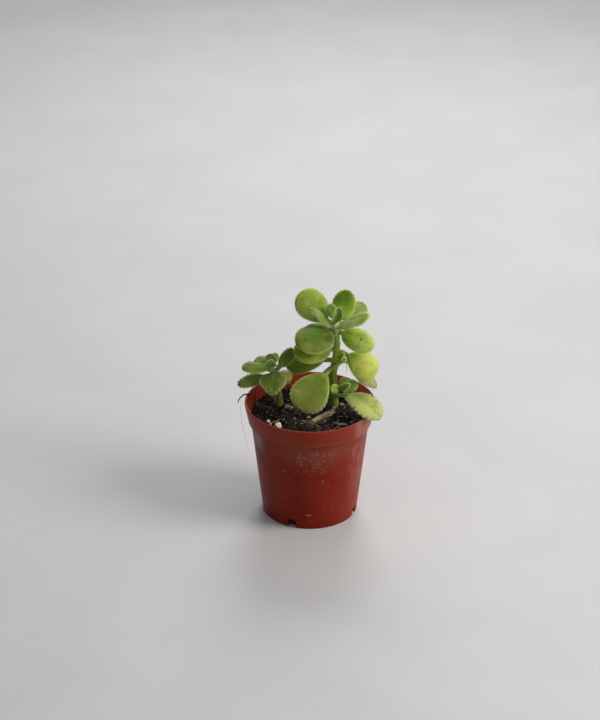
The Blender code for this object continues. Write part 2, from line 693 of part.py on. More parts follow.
def build_leaves(stem, radii, leaves):
    for number, (name, leaf) in enumerate(leaves.items()):
        middle, share = stem_at(stem, leaf["height"])
        tip = Vector(leaf["tip"])
        outward = Vector((tip.x - middle.x, tip.y - middle.y, 0)).normalized()
        climb = abs((tip - middle).normalized().z)
        clear = GAP + FOOT_CLEARANCE + LARGE_LEAF["stalk_radius"] * climb
        away = stem_radius(radii, share) + clear
        foot = middle + outward * away
        reach = tip - foot
        mesh = leaf_mesh(name, reach.length, leaf["width"], leaf["fullness"], leaf["droop"],
                         leaf["stalk"], leaf["arch"], seed=number,
                         point=leaf.get("point", 0), taper=leaf.get("taper", BLADE_FOOT),
                         **LARGE_LEAF)
        add_object(name, mesh, leaf["colour"], foot, leaf_turn(reach, leaf["face"]))


def build_shoot(name, shoot):
    """A short core with young leaves sunk in it, joined into one solid."""
    start = Vector(shoot["core"][0])
    end = Vector(shoot["core"][1])
    core_mesh = tube(name, lambda share: start.lerp(end, share),
                     lambda share: shoot["radius"] * (1 - SHOOT_TAPER * share), 4, 8)
    core = add_object(name, core_mesh, shoot["colour"])
    young = []
    for number, (foot, tip, width, face, droop, fullness) in enumerate(shoot["leaves"]):
        reach = Vector(tip) - Vector(foot)
        mesh = leaf_mesh(name + "_leaf", reach.length, width, fullness, droop, seed=number,
                         **YOUNG_LEAF)
        young.append(add_object(name + "_leaf", mesh, shoot["colour"], foot,
                                leaf_turn(reach, face)))
    boolean_with(core, young, "UNION")


def build_bark():
    """A split sliver of bark that lies on the soil, ridged along its length."""
    start = Vector((*BARK_ENDS[0], 0))
    end = Vector((*BARK_ENDS[1], 0))
    length = (end - start).length
    along = (end - start).normalized()
    across = Vector((-along.y, along.x, 0))
    points = []
    faces = []
    for station in range(BARK_STATIONS):
        share = station / (BARK_STATIONS - 1)
        bulge = math.sin(math.pi * (0.12 + 0.76 * share))
        narrowing = BARK_END_WIDTH + (1 - BARK_END_WIDTH) * bulge
        waver = BARK_WAVER * math.sin(7 * share)
        thickness = BARK_THICKNESS * (1 - BARK_UNEVEN * (1 - math.cos(9 * share)))
        for side, rise in BARK_SECTION:
            spot = start + along * length * share
            spot += across * (side * BARK_WIDTH * narrowing + waver)
            spot.z = SOIL_TOP + GAP + rise * thickness
            points.append(spot)
    count = len(BARK_SECTION)
    for station in range(BARK_STATIONS - 1):
        for i in range(count):
            j = (i + 1) % count
            a = station * count
            faces.append((a + i, a + j, a + count + j, a + count + i))
    faces.append(tuple(range(count)))
    faces.append(tuple(range((BARK_STATIONS - 1) * count, BARK_STATIONS * count)))
    add_object("bark_chip", mesh_from("bark_chip", points, faces), "bark")


def build_grains():
    """Perlite grains with a flat place underneath, each on its seat in the soil."""
    for number, (name, (x, y, radius)) in enumerate(GRAINS.items()):
        bm = bmesh.new()
        bmesh.ops.create_icosphere(bm, subdivisions=2, radius=radius * MM)
        for vert in bm.verts:
            lump = noise.noise(vert.co / (radius * MM) * 1.3 + Vector((number * 5, 0, 0)))
            vert.co *= 1 + GRAIN_LUMPS * lump
            vert.co.z = max(vert.co.z, -GRAIN_FLAT * radius * MM)
        mesh = bpy.data.meshes.new(name)
        bm.to_mesh(mesh)
        bm.free()
        height = SOIL_TOP + GAP + GRAIN_FLAT * radius
        add_object(name, mesh, "perlite", (x, y, height))


def parent_all():
    """Everything hangs under one empty at the origin."""
    root = bpy.data.objects.new("potted_plectranthus", None)
    bpy.context.scene.collection.objects.link(root)
    for obj in bpy.context.scene.objects:
        if obj is not root:
            obj.parent = root


def main():
    clear_scene()
    build_pot()
    build_soil()
    build_stem("main_stem", MAIN_STEM, MAIN_STEM_RADII, MAIN_LEAVES)
    build_stem("left_stem", LEFT_STEM, LEFT_STEM_RADII, LEFT_LEAVES)
    build_leaves(MAIN_STEM, MAIN_STEM_RADII, MAIN_LEAVES)
    build_leaves(LEFT_STEM, LEFT_STEM_RADII, LEFT_LEAVES)
    for name, shoot in SHOOTS.items():
        build_shoot(name, shoot)
    build_bark()
    build_grains()
    parent_all()


main()
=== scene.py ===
import json
import math
import random

import bmesh
import bpy
import numpy as np
from mathutils import Matrix, Vector, noise

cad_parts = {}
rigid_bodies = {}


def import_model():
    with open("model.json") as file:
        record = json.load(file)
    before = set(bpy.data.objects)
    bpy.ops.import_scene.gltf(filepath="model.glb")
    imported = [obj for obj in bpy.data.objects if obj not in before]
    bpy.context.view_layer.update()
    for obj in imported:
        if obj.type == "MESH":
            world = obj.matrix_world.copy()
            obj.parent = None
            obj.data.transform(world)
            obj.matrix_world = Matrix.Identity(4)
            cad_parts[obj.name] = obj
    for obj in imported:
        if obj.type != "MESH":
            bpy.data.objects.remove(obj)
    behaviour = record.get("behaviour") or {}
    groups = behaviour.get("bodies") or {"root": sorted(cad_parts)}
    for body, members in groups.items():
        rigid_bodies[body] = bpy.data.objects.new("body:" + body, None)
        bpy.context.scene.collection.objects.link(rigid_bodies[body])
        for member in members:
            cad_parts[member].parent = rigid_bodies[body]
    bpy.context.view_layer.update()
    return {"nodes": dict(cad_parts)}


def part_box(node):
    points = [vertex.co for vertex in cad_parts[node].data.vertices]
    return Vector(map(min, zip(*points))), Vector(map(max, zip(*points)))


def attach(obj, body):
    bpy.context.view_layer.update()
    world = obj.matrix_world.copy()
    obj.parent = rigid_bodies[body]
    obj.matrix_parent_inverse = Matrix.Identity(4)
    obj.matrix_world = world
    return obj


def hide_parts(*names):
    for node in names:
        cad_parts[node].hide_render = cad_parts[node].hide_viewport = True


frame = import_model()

# A small velvety, scallop-leaved plant in a plastic pot. Lengths in the dictionaries are in
# millimetres; +Z is up, the pot stands on z = 0 and the side that is seen best faces -Y.

mm = 0.001
scene = bpy.context.scene


# Camera at the photograph's viewing angle, floor, light

view = dict(lens=114, sensor=36, downwards=26.68, place=(-4.58, -924.4, 540.6))
studio = dict(floorSize=3000, skyDark=0.03, skyBright=0.72, window=(0.70, 0.10, 0.70),
              darkUntil=-0.5, aim=(0, 0, 50))
lamps = dict(
    key=dict(place=(640, -180, 540), size=420, power=5.3, colour="#fffaf2"),
    front=dict(place=(-160, -780, 420), size=520, power=0.35, colour="#f6f8ff"),
    rim=dict(place=(60, 640, 560), size=400, power=3.4, colour="#fdfdff"),
)


def linear(hexColour):  # an sRGB hex colour as the linear one that sockets take
    parts = [int(hexColour[i:i + 2], 16) / 255 for i in (1, 3, 5)]
    return tuple(p / 12.92 if p <= 0.04045 else ((p + 0.055) / 1.055) ** 2.4
                 for p in parts) + (1,)


def addNode(tree, kind, inputs=None, **settings):  # a node, its settings and its links
    node = tree.nodes.new(kind)
    for name, value in settings.items():
        setattr(node, name, value)
    for key, value in (inputs or {}).items():
        if isinstance(value, bpy.types.NodeSocket):
            tree.links.new(value, node.inputs[key])
        else:
            node.inputs[key].default_value = value
    return node


def stand(name, data, place, turn):  # a camera or a lamp in its place
    holder = bpy.data.objects.new(name, data)
    holder.location = place
    holder.rotation_euler = turn
    scene.collection.objects.link(holder)
    return holder


def setUpView():
    lens = bpy.data.cameras.new("camera")
    lens.lens = view["lens"]
    lens.sensor_width = view["sensor"]
    lens.clip_start = 0.01
    scene.camera = stand("camera", lens, Vector(view["place"]) * mm,
                         (math.radians(90 - view["downwards"]), 0, 0))
    scene.view_settings.view_transform = "Standard"


def setUpLight():
    world = bpy.data.worlds.new("paleRoom")
    world.use_nodes = True
    tree = world.node_tree
    background = tree.nodes["Background"]
    background.inputs["Color"].default_value = linear("#eeeef0")
    # the room is lit from above and from its right side, so the left of the pot stays dark
    outwards = addNode(tree, "ShaderNodeTexCoord").outputs["Generated"]
    toWindow = addNode(tree, "ShaderNodeVectorMath", {0: outwards, 1: studio["window"]},
                       operation="DOT_PRODUCT").outputs["Value"]
    strength = addNode(tree, "ShaderNodeMapRange", {
        0: toWindow, 1: studio["darkUntil"], 2: 1, 3: studio["skyDark"],
        4: studio["skyBright"]}).outputs[0]
    tree.links.new(strength, background.inputs["Strength"])
    scene.world = world
    for name, lamp in lamps.items():
        light = bpy.data.lights.new(name, "AREA")
        light.shape = "DISK"
        light.size = lamp["size"] * mm
        light.energy = lamp["power"]
        light.color = linear(lamp["colour"])[:3]
        place = Vector(lamp["place"])
        aim = (Vector(studio["aim"]) - place).to_track_quat("-Z", "Y")
        stand(name, light, place * mm, aim.to_euler())


setUpView()
setUpLight()
print("camera and light are set")


# Materials

def newMaterial(name, settings):
    material = bpy.data.materials.new(name)
    material.use_nodes = True
    shader = material.node_tree.nodes["Principled BSDF"]
    for key, value in settings.items():
        shader.inputs[key].default_value = value
    return material, material.node_tree, shader


def perMetre(size):  # the Scale that gives a pattern a size in millimetres
    return 1 / (size * mm)


def product(tree, *values):  # values multiplied with each other
    amount = values[0]
    for value in values[1:]:
        amount = addNode(tree, "ShaderNodeMath", {0: amount, 1: value},
                         operation="MULTIPLY").outputs[0]
    return amount


def added(tree, start, *parts):  # a start with parts added, each as (value, weight)
    total = start
    for value, weight in parts:
        total = addNode(tree, "ShaderNodeMath", {0: value, 1: weight, 2: total},
                        operation="MULTIPLY_ADD").outputs[0]
    return total


def mask(tree, *limits):
    # limits are (value, none, full): the mask is 1 where every value is past full and 0 where
    # one is short of none. With a fourth number, the value counts as its distance from that.
    ramps = []
    for value, none, full, *middle in limits:
        for centre in middle:
            offset = added(tree, value, (centre, -1))
            value = addNode(tree, "ShaderNodeMath", {0: offset}, operation="ABSOLUTE").outputs[0]
        ramps.append(addNode(tree, "ShaderNodeMapRange", {0: value, 1: none, 2: full},
                             interpolation_type="SMOOTHSTEP").outputs[0])
    return product(tree, *ramps)


def grain(tree, size, detail, rough=0.5, distortion=0.0, stretch=(1, 1, 1), turn=(0, 0, 0)):
    # noise fixed to the object, with grains of a size in millimetres
    place = addNode(tree, "ShaderNodeTexCoord").outputs["Object"]
    turned = addNode(tree, "ShaderNodeMapping",
                     {"Vector": place, "Scale": stretch, "Rotation": turn}).outputs[0]
    return addNode(tree, "ShaderNodeTexNoise",
                   {"Vector": turned, "Scale": perMetre(size), "Detail": detail,
                    "Roughness": rough, "Distortion": distortion}).outputs[0]


def whereOn(tree):  # the place on the object in millimetres, whole and as x, y and z
    place = addNode(tree, "ShaderNodeTexCoord").outputs["Object"]
    place = addNode(tree, "ShaderNodeVectorMath", {0: place, "Scale": 1 / mm},
                    operation="SCALE").outputs[0]
    return place, *addNode(tree, "ShaderNodeSeparateXYZ", {0: place}).outputs


def blot(tree, place, centre, size, frayed, low, high):
    # a spot round a centre, with a size for each axis; frayed is (noise, weight)
    near = [1 / length for length in size]
    scaled = addNode(tree, "ShaderNodeVectorMath", {0: place, 1: near},
                     operation="MULTIPLY").outputs[0]
    away = addNode(tree, "ShaderNodeVectorMath", {
        0: scaled, 1: [c * n for c, n in zip(centre, near)]},
        operation="DISTANCE").outputs["Value"]
    return mask(tree, (added(tree, away, frayed), low, high))


def paint(tree, shader, base, layers):
    # colours laid over each other as (where, colour, share), where a mask or its limits
    colour = linear(base)
    for where, tint, share in layers:
        if not isinstance(where, bpy.types.NodeSocket):
            where = mask(tree, where)
        colour = addNode(tree, "ShaderNodeMix", {
            0: product(tree, where, share), 6: colour, 7: linear(tint)},
            data_type="RGBA").outputs[2]
    tree.links.new(colour, shader.inputs["Base Color"])


def roughen(tree, shader, height, depth, strength=1.0):  # relief, its depth in millimetres
    bump = addNode(tree, "ShaderNodeBump",
                   {"Height": height, "Distance": depth * mm, "Strength": strength})
    tree.links.new(bump.outputs[0], shader.inputs["Normal"])


# Injection-moulded polypropylene, terracotta brown: smooth with a broad soft gloss, thin
# enough to glow red with light behind it, and dulled by water marks and handling scuffs
def mouldedPolypropylene():
    look = dict(
        # the pale water colour also paints highlights; the orange one is a painted glow and the
        # grey one a painted reflection
        wall="#791a07", worn="#9a4a34", waterAndHighlight="#bb8c78", haze="#8a6250", dust="#3c2016",
        paintedGlow="#e0703a", paintedGreyReflection="#9a918b",
        # dried splashes on the wall, as (angle, height, width, tall)
        splashes=((-92, 7.8, 3.4, 1.4), (-83, 41.8, 1.6, 0.9), (-117, 30.8, 1.1, 1.6),
                  (-77, 26.8, 1.1, 1.2), (-88, 29.9, 0.9, 0.9), (-78, 31.3, 1.3, 0.7),
                  (-102, 39.3, 2.4, 0.6), (-99, 37.4, 1.8, 0.8), (-40, 36.2, 1.2, 2.6),
                  (-25, 33.6, 0.7, 5.5), (-39, 26.6, 0.9, 1.0), (-38, 14.3, 0.9, 2.2),
                  (-112, 27.5, 0.8, 1.0), (-70, 24.0, 0.8, 0.8), (-60, 29.0, 0.9, 0.8)))
    material, tree, shader = newMaterial("mouldedPolypropylene", {
        "IOR": 1.49, "Specular IOR Level": 0.16, "Specular Tint": linear("#ffe2cc"),
        "Subsurface Weight": 0.35, "Subsurface Radius": (1.0, 0.16, 0.08),
        "Subsurface Scale": 2.4 * mm})
    place, x, y, z = whereOn(tree)
    front = (y, 0, -6)
    cloudy = grain(tree, 14, 3)
    fine = grain(tree, 0.8, 3, 0.6)
    streaks = grain(tree, 0.9, 2, stretch=(1, 1, 0.10))
    # the patch of dried drops high on the front, a fog of lime with specks in it
    patch = mask(tree, (x, 15, 3, 1), (z, 9.5, 2.0, 37.5), front)
    cells = addNode(tree, "ShaderNodeTexVoronoi", {"Vector": place, "Scale": 1 / 0.8})
    specks = mask(tree, (cells.outputs["Distance"], 0.42, 0.16), (grain(tree, 2.2, 2), 0.46, 0.62))
    drops = product(tree, specks, added(tree, 0.10, (patch, 1)))
    fog = product(tree, patch, mask(tree, (grain(tree, 1.6, 3, 0.6), 0.42, 0.62)))
    fog = added(tree, fog, (mask(tree, (x, 25, 10, 1), (z, 8, 1, 42)), 0.60))
    splashes = 0.0
    for angle, height, wide, tall in look["splashes"]:
        turn = math.radians(angle)
        radius = wallRadius(height)
        splash = blot(tree, place, (radius * math.cos(turn), radius * math.sin(turn), height),
                      (wide, wide, tall), (fine, 0.35), 0.68, 0.42)
        splashes = addNode(tree, "ShaderNodeMath", {0: splash, 1: splashes},
                           operation="MAXIMUM").outputs[0]
    # runs of dried water down the right side, with a painted highlight in them, scuffs everywhere,
    # a painted grey reflection on the left, a painted highlight from the window side on the band
    # and a painted glow on the inner face of the right wall
    runsAndHighlight = mask(tree, (x, 5.5, 1.5, 21.5), (z, 18, 8, 30), front, (streaks, 0.42, 0.78))
    scuffs = mask(tree, (streaks, 0.56, 0.72), (cloudy, 0.42, 0.6))
    # painted reflection: a grey patch high on the front left of the wall
    paintedGreyReflection = mask(tree, (x, 6, 0, -25.5), (z, 7, 1, 41), (y, -6, -14))
    # painted highlight on the right of the band
    paintedSunlight = mask(tree, (x, 5, 1.5, 24), (z, 6, 4, 50.5))
    # painted glow: the inner face of the right wall is painted lighter, as if lit through the wall
    normal = addNode(tree, "ShaderNodeNewGeometry").outputs["Normal"]
    facing = addNode(tree, "ShaderNodeVectorMath", {0: normal, 1: place},
                     operation="DOT_PRODUCT").outputs["Value"]
    paint(tree, shader, look["wall"], (
        (mask(tree, (facing, 0, -6), (x, 4, 23)), look["paintedGlow"], 1.0),
        ((z, 45.5, 46.5), look["worn"], 0.28),
        ((cloudy, 0.35, 0.7), look["worn"], 0.10),
        (scuffs, look["worn"], 0.30),
        (fog, look["haze"], 0.38),
        (runsAndHighlight, look["waterAndHighlight"], 0.40),
        (drops, look["waterAndHighlight"], 0.42),
        (splashes, look["waterAndHighlight"], 0.40),
        (paintedGreyReflection, look["paintedGreyReflection"], 0.72),
        (paintedSunlight, look["waterAndHighlight"], 0.30),
        (mask(tree, (z, 5, 0), (streaks, 0.4, 0.6)), look["dust"], 0.35)))  # peat at the foot
    rough = added(tree, 0.30, (cloudy, 0.16), (drops, 0.2), (splashes, 0.2), (fog, 0.2),
                  (scuffs, 0.2))
    tree.links.new(rough, shader.inputs["Roughness"])
    roughen(tree, shader, added(tree, 0, (cloudy, 1.6), (drops, 0.5)), 0.05)
    return material


# Damp peat compost: near black, matt, with brown fibres in it
def dampPeat():
    material, tree, shader = newMaterial("dampPeat", {
        "Roughness": 0.85, "Specular IOR Level": 0.18})
    lumps = grain(tree, 2.2, 4, 0.65)
    crumbs = grain(tree, 0.5, 3, 0.6)
    paint(tree, shader, "#15120f", (
        ((lumps, 0.50, 0.66), "#382c20", 0.6),
        ((crumbs, 0.59, 0.69), "#6b5843", 0.5),
        ((crumbs, 0.50, 0.36), "#050404", 0.9)))
    roughen(tree, shader, added(tree, lumps, (crumbs, 1)), 0.35)
    return material


# Dry root and bark fibre: straw to grey brown, matt
def dryFibre(name, pale, dark):
    material, tree, shader = newMaterial(name, {"Roughness": 0.8})
    paint(tree, shader, dark, (((grain(tree, 2.5, 2), 0.35, 0.65), pale, 1.0),))
    roughen(tree, shader, grain(tree, 0.2, 1), 0.05)
    return material


# Expanded perlite: chalky white volcanic glass foam, full of tiny pits, stained by the peat
def expandedPerlite(name, clean, stained, share):
    material, tree, shader = newMaterial(name, {
        "Roughness": 0.9, "Subsurface Weight": 0.15, "Subsurface Scale": 0.5 * mm})
    place = addNode(tree, "ShaderNodeTexCoord").outputs["Object"]
    pits = addNode(tree, "ShaderNodeTexVoronoi",
                   {"Vector": place, "Scale": perMetre(0.32)}).outputs["Distance"]
    paint(tree, shader, clean, (
        ((pits, 0.30, 0.08), stained, 0.4),
        ((grain(tree, 1.6, 3), 0.46, 0.66), stained, share)))
    roughen(tree, shader, pits, 0.12)
    return material


# Split conifer bark: dry, tan and grey, torn into long ridges along the grain
def splitBark(turn):
    material, tree, shader = newMaterial("splitBark", {"Roughness": 0.85})
    ridges = grain(tree, 0.45, 3, 0.6, stretch=(0.12, 1, 1), turn=(0, 0, -turn))
    paint(tree, shader, "#a08b66", (
        ((ridges, 0.48, 0.62), "#cbbb92", 0.9),
        ((ridges, 0.44, 0.32), "#3a2c20", 0.9),
        ((grain(tree, 2.0, 3), 0.54, 0.68), "#5c4632", 0.6)))
    roughen(tree, shader, ridges, 0.25)
    return material


# Leaf of a fleshy, velvety plant: a waxy blade with light scattering inside, paler where the
# short hairs stand close together along the margin and on the midrib, mottled when young
def velvetLeaf(name, tones, leaf):
    near, far, edge = tones
    material, tree, shader = newMaterial(name, {
        "Roughness": 0.52, "IOR": 1.42, "Specular IOR Level": 0.30,
        "Specular Tint": linear("#eef2c8"), "Subsurface Weight": 0.28,
        "Subsurface Radius": (0.55, 1.0, 0.2), "Subsurface Scale": 1.1 * mm,
        "Sheen Weight": 0.05, "Sheen Roughness": 0.45, "Sheen Tint": linear("#dfe8b8")})
    blade = addNode(tree, "ShaderNodeUVMap", uv_map="blade").outputs[0]
    along, across, _ = addNode(tree, "ShaderNodeSeparateXYZ", {0: blade}).outputs
    side = addNode(tree, "ShaderNodeMath", {0: across}, operation="ABSOLUTE").outputs[0]
    below = addNode(tree, "ShaderNodeAttribute", attribute_name="underside").outputs["Fac"]
    mottle = grain(tree, 4.6, 3, 0.55, 0.6)
    patches = grain(tree, 6.4, 3, 0.6, 0.8, (1.1, 0.9, 1), (0.4, 0.3, 0.9))
    fine = grain(tree, 0.9, 3, 0.6)
    # side veins run forwards from the midrib, evenly spread, as in the leaf's mesh
    count = veins["count"]
    place = added(tree, 0, (along, count), (side, -count * veins["slant"]))
    phase = addNode(tree, "ShaderNodeMath", {0: place}, operation="FRACT").outputs[0]
    vein = mask(tree, (phase, 0.10, 0.0, 0.5), (side, 0.85, 0.35))
    fromRib = addNode(tree, "ShaderNodeMath", {0: side, 1: added(tree, 0.16, (along, -0.12))},
                      operation="DIVIDE").outputs[0]
    layers = [((along, 0.2, 0.85), far, 1.0),
              ((mottle, 0.52, 0.72), edge, 0.26),
              ((mottle, 0.50, 0.30), "#3f5a14", 0.34),
              ((patches, 0.55, 0.70), "#9a8236", 0.10),
              ((patches, 0.45, 0.30), "#4a8a12", 0.26),
              ((fine, 0.50, 0.66), edge, 0.10),
              (vein, edge, 0.08),
              (mask(tree, (fromRib, 1.0, 0.2), (along, 0.62, 0.15)), edge, 0.22),
              (below, edge, 0.30),
              ((side, 0.45, 0.95), edge, 0.16),
              ((side, 0.86, 0.97), edge, 0.80)]
    if "stem" in leaf:
        layers.append(((along, leaf["stalk"] + 0.14, leaf["stalk"]), "#93a75a", 0.5))
    for alongBlade, acrossBlade, radius, tint, share in leaf.get("spots", ()):
        size = (radius / leaf["length"], 2 * radius / leaf["width"], 1)  # round in millimetres
        spot = blot(tree, blade, (alongBlade, acrossBlade, 0), size, (fine, 0.7), 1.55, 0.75)
        layers.append((spot, tint, share))
    paint(tree, shader, near, layers)
    relief = added(tree, mottle, (grain(tree, 0.28, 2), 0.5), (vein, -0.2))
    roughen(tree, shader, relief, 0.16, 0.7)
    return material


# Young fleshy stem: translucent green, downy, darker along its shaded lower part
def downyStem():
    material, tree, shader = newMaterial("downyStem", {
        "Roughness": 0.55, "IOR": 1.42, "Subsurface Weight": 0.3,
        "Subsurface Radius": (0.6, 1.0, 0.25), "Subsurface Scale": 1.0 * mm,
        "Sheen Weight": 0.3, "Sheen Tint": linear("#dfe8b8")})
    _, x, _, z = whereOn(tree)
    tone = grain(tree, 1.6, 3, stretch=(1, 1, 0.3))
    paint(tree, shader, "#768f26", (
        ((z, 62, 82), "#9cae38", 1.0),
        ((z, 86.5, 90), "#bcc68c", 0.85),
        (mask(tree, (x, -8, -12), (z, 60, 65)), "#b4bd84", 0.8),  # the left stem's top
        ((tone, 0.50, 0.68), "#b3c162", 0.40),
        ((tone, 0.46, 0.32), "#536a1e", 0.5),
        ((z, 57, 49), "#6e6a2c", 0.6)))
    roughen(tree, shader, tone, 0.2)
    return material


# Plant hair: clear thin-walled cells, so pale and silky, drawn a little thicker than life
# so that it shows
def leafHair():
    material, tree, shader = newMaterial("leafHair", {
        "Roughness": 0.45, "Subsurface Weight": 0.4, "Subsurface Scale": 0.2 * mm})
    paint(tree, shader, "#aabf5e", (((grain(tree, 6, 1), 0.4, 0.6), "#c9d592", 1.0),))
    return material


# Pale matt board under the pot
def paleBoard():
    material, tree, shader = newMaterial("paleBoard", {"Roughness": 0.7})
    paint(tree, shader, "#bababb", (((grain(tree, 60, 2), 0.3, 0.7), "#bebebe", 1.0),))
    return material


# Geometry Nodes

def newTree(name, inputs):
    tree = bpy.data.node_groups.new(name, "GeometryNodeTree")
    for socket, kind in inputs:
        tree.interface.new_socket(socket, in_out="INPUT", socket_type="NodeSocket" + kind)
    tree.interface.new_socket("Made", in_out="OUTPUT", socket_type="NodeSocketGeometry")
    return tree, addNode(tree, "NodeGroupInput").outputs


def endTree(tree, geometry, finish):
    real = addNode(tree, "GeometryNodeRealizeInstances", {0: geometry}).outputs[0]
    finished = addNode(tree, "GeometryNodeSetMaterial",
                       {"Geometry": real, "Material": finish}).outputs[0]
    addNode(tree, "NodeGroupOutput", {"Made": finished})


# small shapes scattered on a surface, where its "cover" attribute is above 0
def makeScatterTree():
    tree, given = newTree("scatterOnSurface", (
        ("Surface", "Geometry"), ("Shapes", "Collection"), ("Per square metre", "Float"),
        ("Smallest", "Float"), ("Largest", "Float"), ("Tilt", "Float"), ("Seed", "Int"),
        ("Finish", "Material")))
    cover = addNode(tree, "GeometryNodeInputNamedAttribute", {"Name": "cover"},
                    data_type="FLOAT").outputs["Attribute"]
    points = addNode(tree, "GeometryNodeDistributePointsOnFaces", {
        "Mesh": given["Surface"], "Seed": given["Seed"],
        "Density": product(tree, cover, given["Per square metre"])}).outputs
    lean = addNode(tree, "ShaderNodeCombineXYZ",
                   {0: given["Tilt"], 1: given["Tilt"], 2: math.pi}).outputs[0]
    back = addNode(tree, "ShaderNodeVectorMath", {0: lean, 1: (-1, -1, -1)},
                   operation="MULTIPLY").outputs[0]
    turn = addNode(tree, "FunctionNodeRandomValue", {0: back, 1: lean, 8: given["Seed"]},
                   data_type="FLOAT_VECTOR").outputs[0]
    rotation = addNode(tree, "FunctionNodeRotateRotation", {
        0: points["Rotation"],
        1: addNode(tree, "FunctionNodeEulerToRotation", {0: turn}).outputs[0]},
        rotation_space="LOCAL").outputs[0]
    size = addNode(tree, "FunctionNodeRandomValue",
                   {2: given["Smallest"], 3: given["Largest"], 8: given["Seed"]},
                   data_type="FLOAT").outputs[1]
    shapes = addNode(tree, "GeometryNodeCollectionInfo", {
        "Collection": given["Shapes"], "Separate Children": True,
        "Reset Children": True}).outputs[0]
    placed = addNode(tree, "GeometryNodeInstanceOnPoints", {
        "Points": points["Points"], "Instance": shapes, "Pick Instance": True,
        "Rotation": rotation, "Scale": size}).outputs[0]
    endTree(tree, placed, given["Finish"])
    return tree


# round fibres along the edges of a mesh, as thick as its "thickness" attribute
def makeFibreTree():
    tree, given = newTree("fibresAlongEdges", (
        ("Lines", "Geometry"), ("Radius", "Float"), ("Sides", "Int"), ("Finish", "Material")))
    curve = addNode(tree, "GeometryNodeMeshToCurve", {"Mesh": given["Lines"]}).outputs[0]
    ring = addNode(tree, "GeometryNodeCurvePrimitiveCircle",
                   {"Resolution": given["Sides"], "Radius": given["Radius"]}).outputs[0]
    thickness = addNode(tree, "GeometryNodeInputNamedAttribute", {"Name": "thickness"},
                        data_type="FLOAT").outputs["Attribute"]
    tube = addNode(tree, "GeometryNodeCurveToMesh", {
        "Curve": curve, "Profile Curve": ring, "Scale": thickness, "Fill Caps": True}).outputs[0]
    endTree(tree, tube, given["Finish"])
    return tree


scatterTree = makeScatterTree()
fibreTree = makeFibreTree()


# Shared shapes

def addObject(name, mesh, *materials):
    piece = bpy.data.objects.new(name, mesh)
    scene.collection.objects.link(piece)
    for material in materials:
        mesh.materials.append(material)
    return piece


def dressed(piece, node=None):  # a piece of the body, which may stand in for a node
    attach(piece, "root")
    if node:
        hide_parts(node)
    return piece


def flattened(piece):  # what a piece's modifiers make of it, as a plain mesh
    graph = bpy.context.evaluated_depsgraph_get()
    mesh = bpy.data.meshes.new_from_object(piece.evaluated_get(graph))
    piece.modifiers.clear()
    return mesh


def grown(name, source, tree, values):  # what a tree makes from a mesh, as a plain new piece
    holder = addObject(name + "_source", source)
    modifier = holder.modifiers.new("grow", "NODES")
    modifier.node_group = tree
    for item in tree.interface.items_tree:
        if item.in_out == "INPUT" and item.name in values:
            modifier[item.identifier] = values[item.name]
    mesh = flattened(holder)
    bpy.data.objects.remove(holder)
    for attribute in [a.name for a in mesh.attributes if a.name in ("cover", "thickness")]:
        mesh.attributes.remove(mesh.attributes[attribute])
    return addObject(name, mesh)


def setValues(mesh, name, values):  # an attribute with a number for each point
    attribute = mesh.attributes.new(name, "FLOAT", "POINT")
    attribute.data.foreach_set("value", np.asarray(values, np.float32))


def meshFrom(bm, name):
    mesh = bpy.data.meshes.new(name)
    bm.to_mesh(mesh)
    bm.free()
    return mesh


def closedMesh(name, points, faces):  # from points in millimetres, facing outwards
    mesh = bpy.data.meshes.new(name)
    mesh.from_pydata([p * mm for p in points], [], faces)
    bm = bmesh.new()
    bm.from_mesh(mesh)
    bmesh.ops.recalc_face_normals(bm, faces=bm.faces[:])
    bm.to_mesh(mesh)
    bm.free()
    mesh.shade_smooth()
    return mesh


def ringFaces(rings, sides):  # between rings of points, each with as many sides
    return [(a + i, a + (i + 1) % sides, a + sides + (i + 1) % sides, a + sides + i)
            for a in range(0, (rings - 1) * sides, sides) for i in range(sides)]


def endFaces(rings, sides):  # over the first and the last ring
    return [tuple(reversed(range(sides))), tuple(range((rings - 1) * sides, rings * sides))]


def shapeSet(name, meshes):  # shapes for the scatter tree, kept out of the scene
    group = bpy.data.collections.new(name)
    for i, mesh in enumerate(meshes):
        group.objects.link(bpy.data.objects.new("%s%d" % (name, i), mesh))
    return group


def joined(name, meshes, *materials):  # several meshes as one piece
    whole = bmesh.new()
    for mesh in meshes:
        whole.from_mesh(mesh)
    mesh = meshFrom(whole, name)
    mesh.shade_smooth()
    return addObject(name, mesh, *materials)


def lump(name, faces, roughness, flat, seed):  # an angular crumb about 1 across
    bm = bmesh.new()
    bmesh.ops.create_icosphere(bm, subdivisions=faces, radius=0.5)
    for vert in bm.verts:
        vert.co *= 1 + roughness * noise.noise(vert.co * 2.6 + Vector((seed * 7.3, 0, 0)))
        vert.co.z *= flat
    return meshFrom(bm, name)


def shred(name, seed):  # a flat splinter of fibre about 1.6 long and 0.3 wide
    chooser = random.Random(seed)
    bm = bmesh.new()
    bmesh.ops.create_cube(bm, size=1)
    for vert in bm.verts:
        end = 0.5 if vert.co.x > 0 else 1.0
        vert.co = Vector((vert.co.x * 1.6, vert.co.y * 0.32 * end, vert.co.z * 0.12))
        vert.co += Vector([chooser.uniform(-0.07, 0.07) for _ in range(3)])
    return meshFrom(bm, name)


def hairShape(name, thickness, bend):  # a hair 1 long, three-sided, with a bent point
    bm = bmesh.new()
    foot = [bm.verts.new((thickness * math.cos(a), thickness * math.sin(a), 0))
            for a in (0, 2 * math.pi / 3, 4 * math.pi / 3)]
    point = bm.verts.new((bend, 0, 1))
    bm.faces.new(reversed(foot))
    for i in range(3):
        bm.faces.new((foot[i], foot[(i + 1) % 3], point))
    return meshFrom(bm, name)


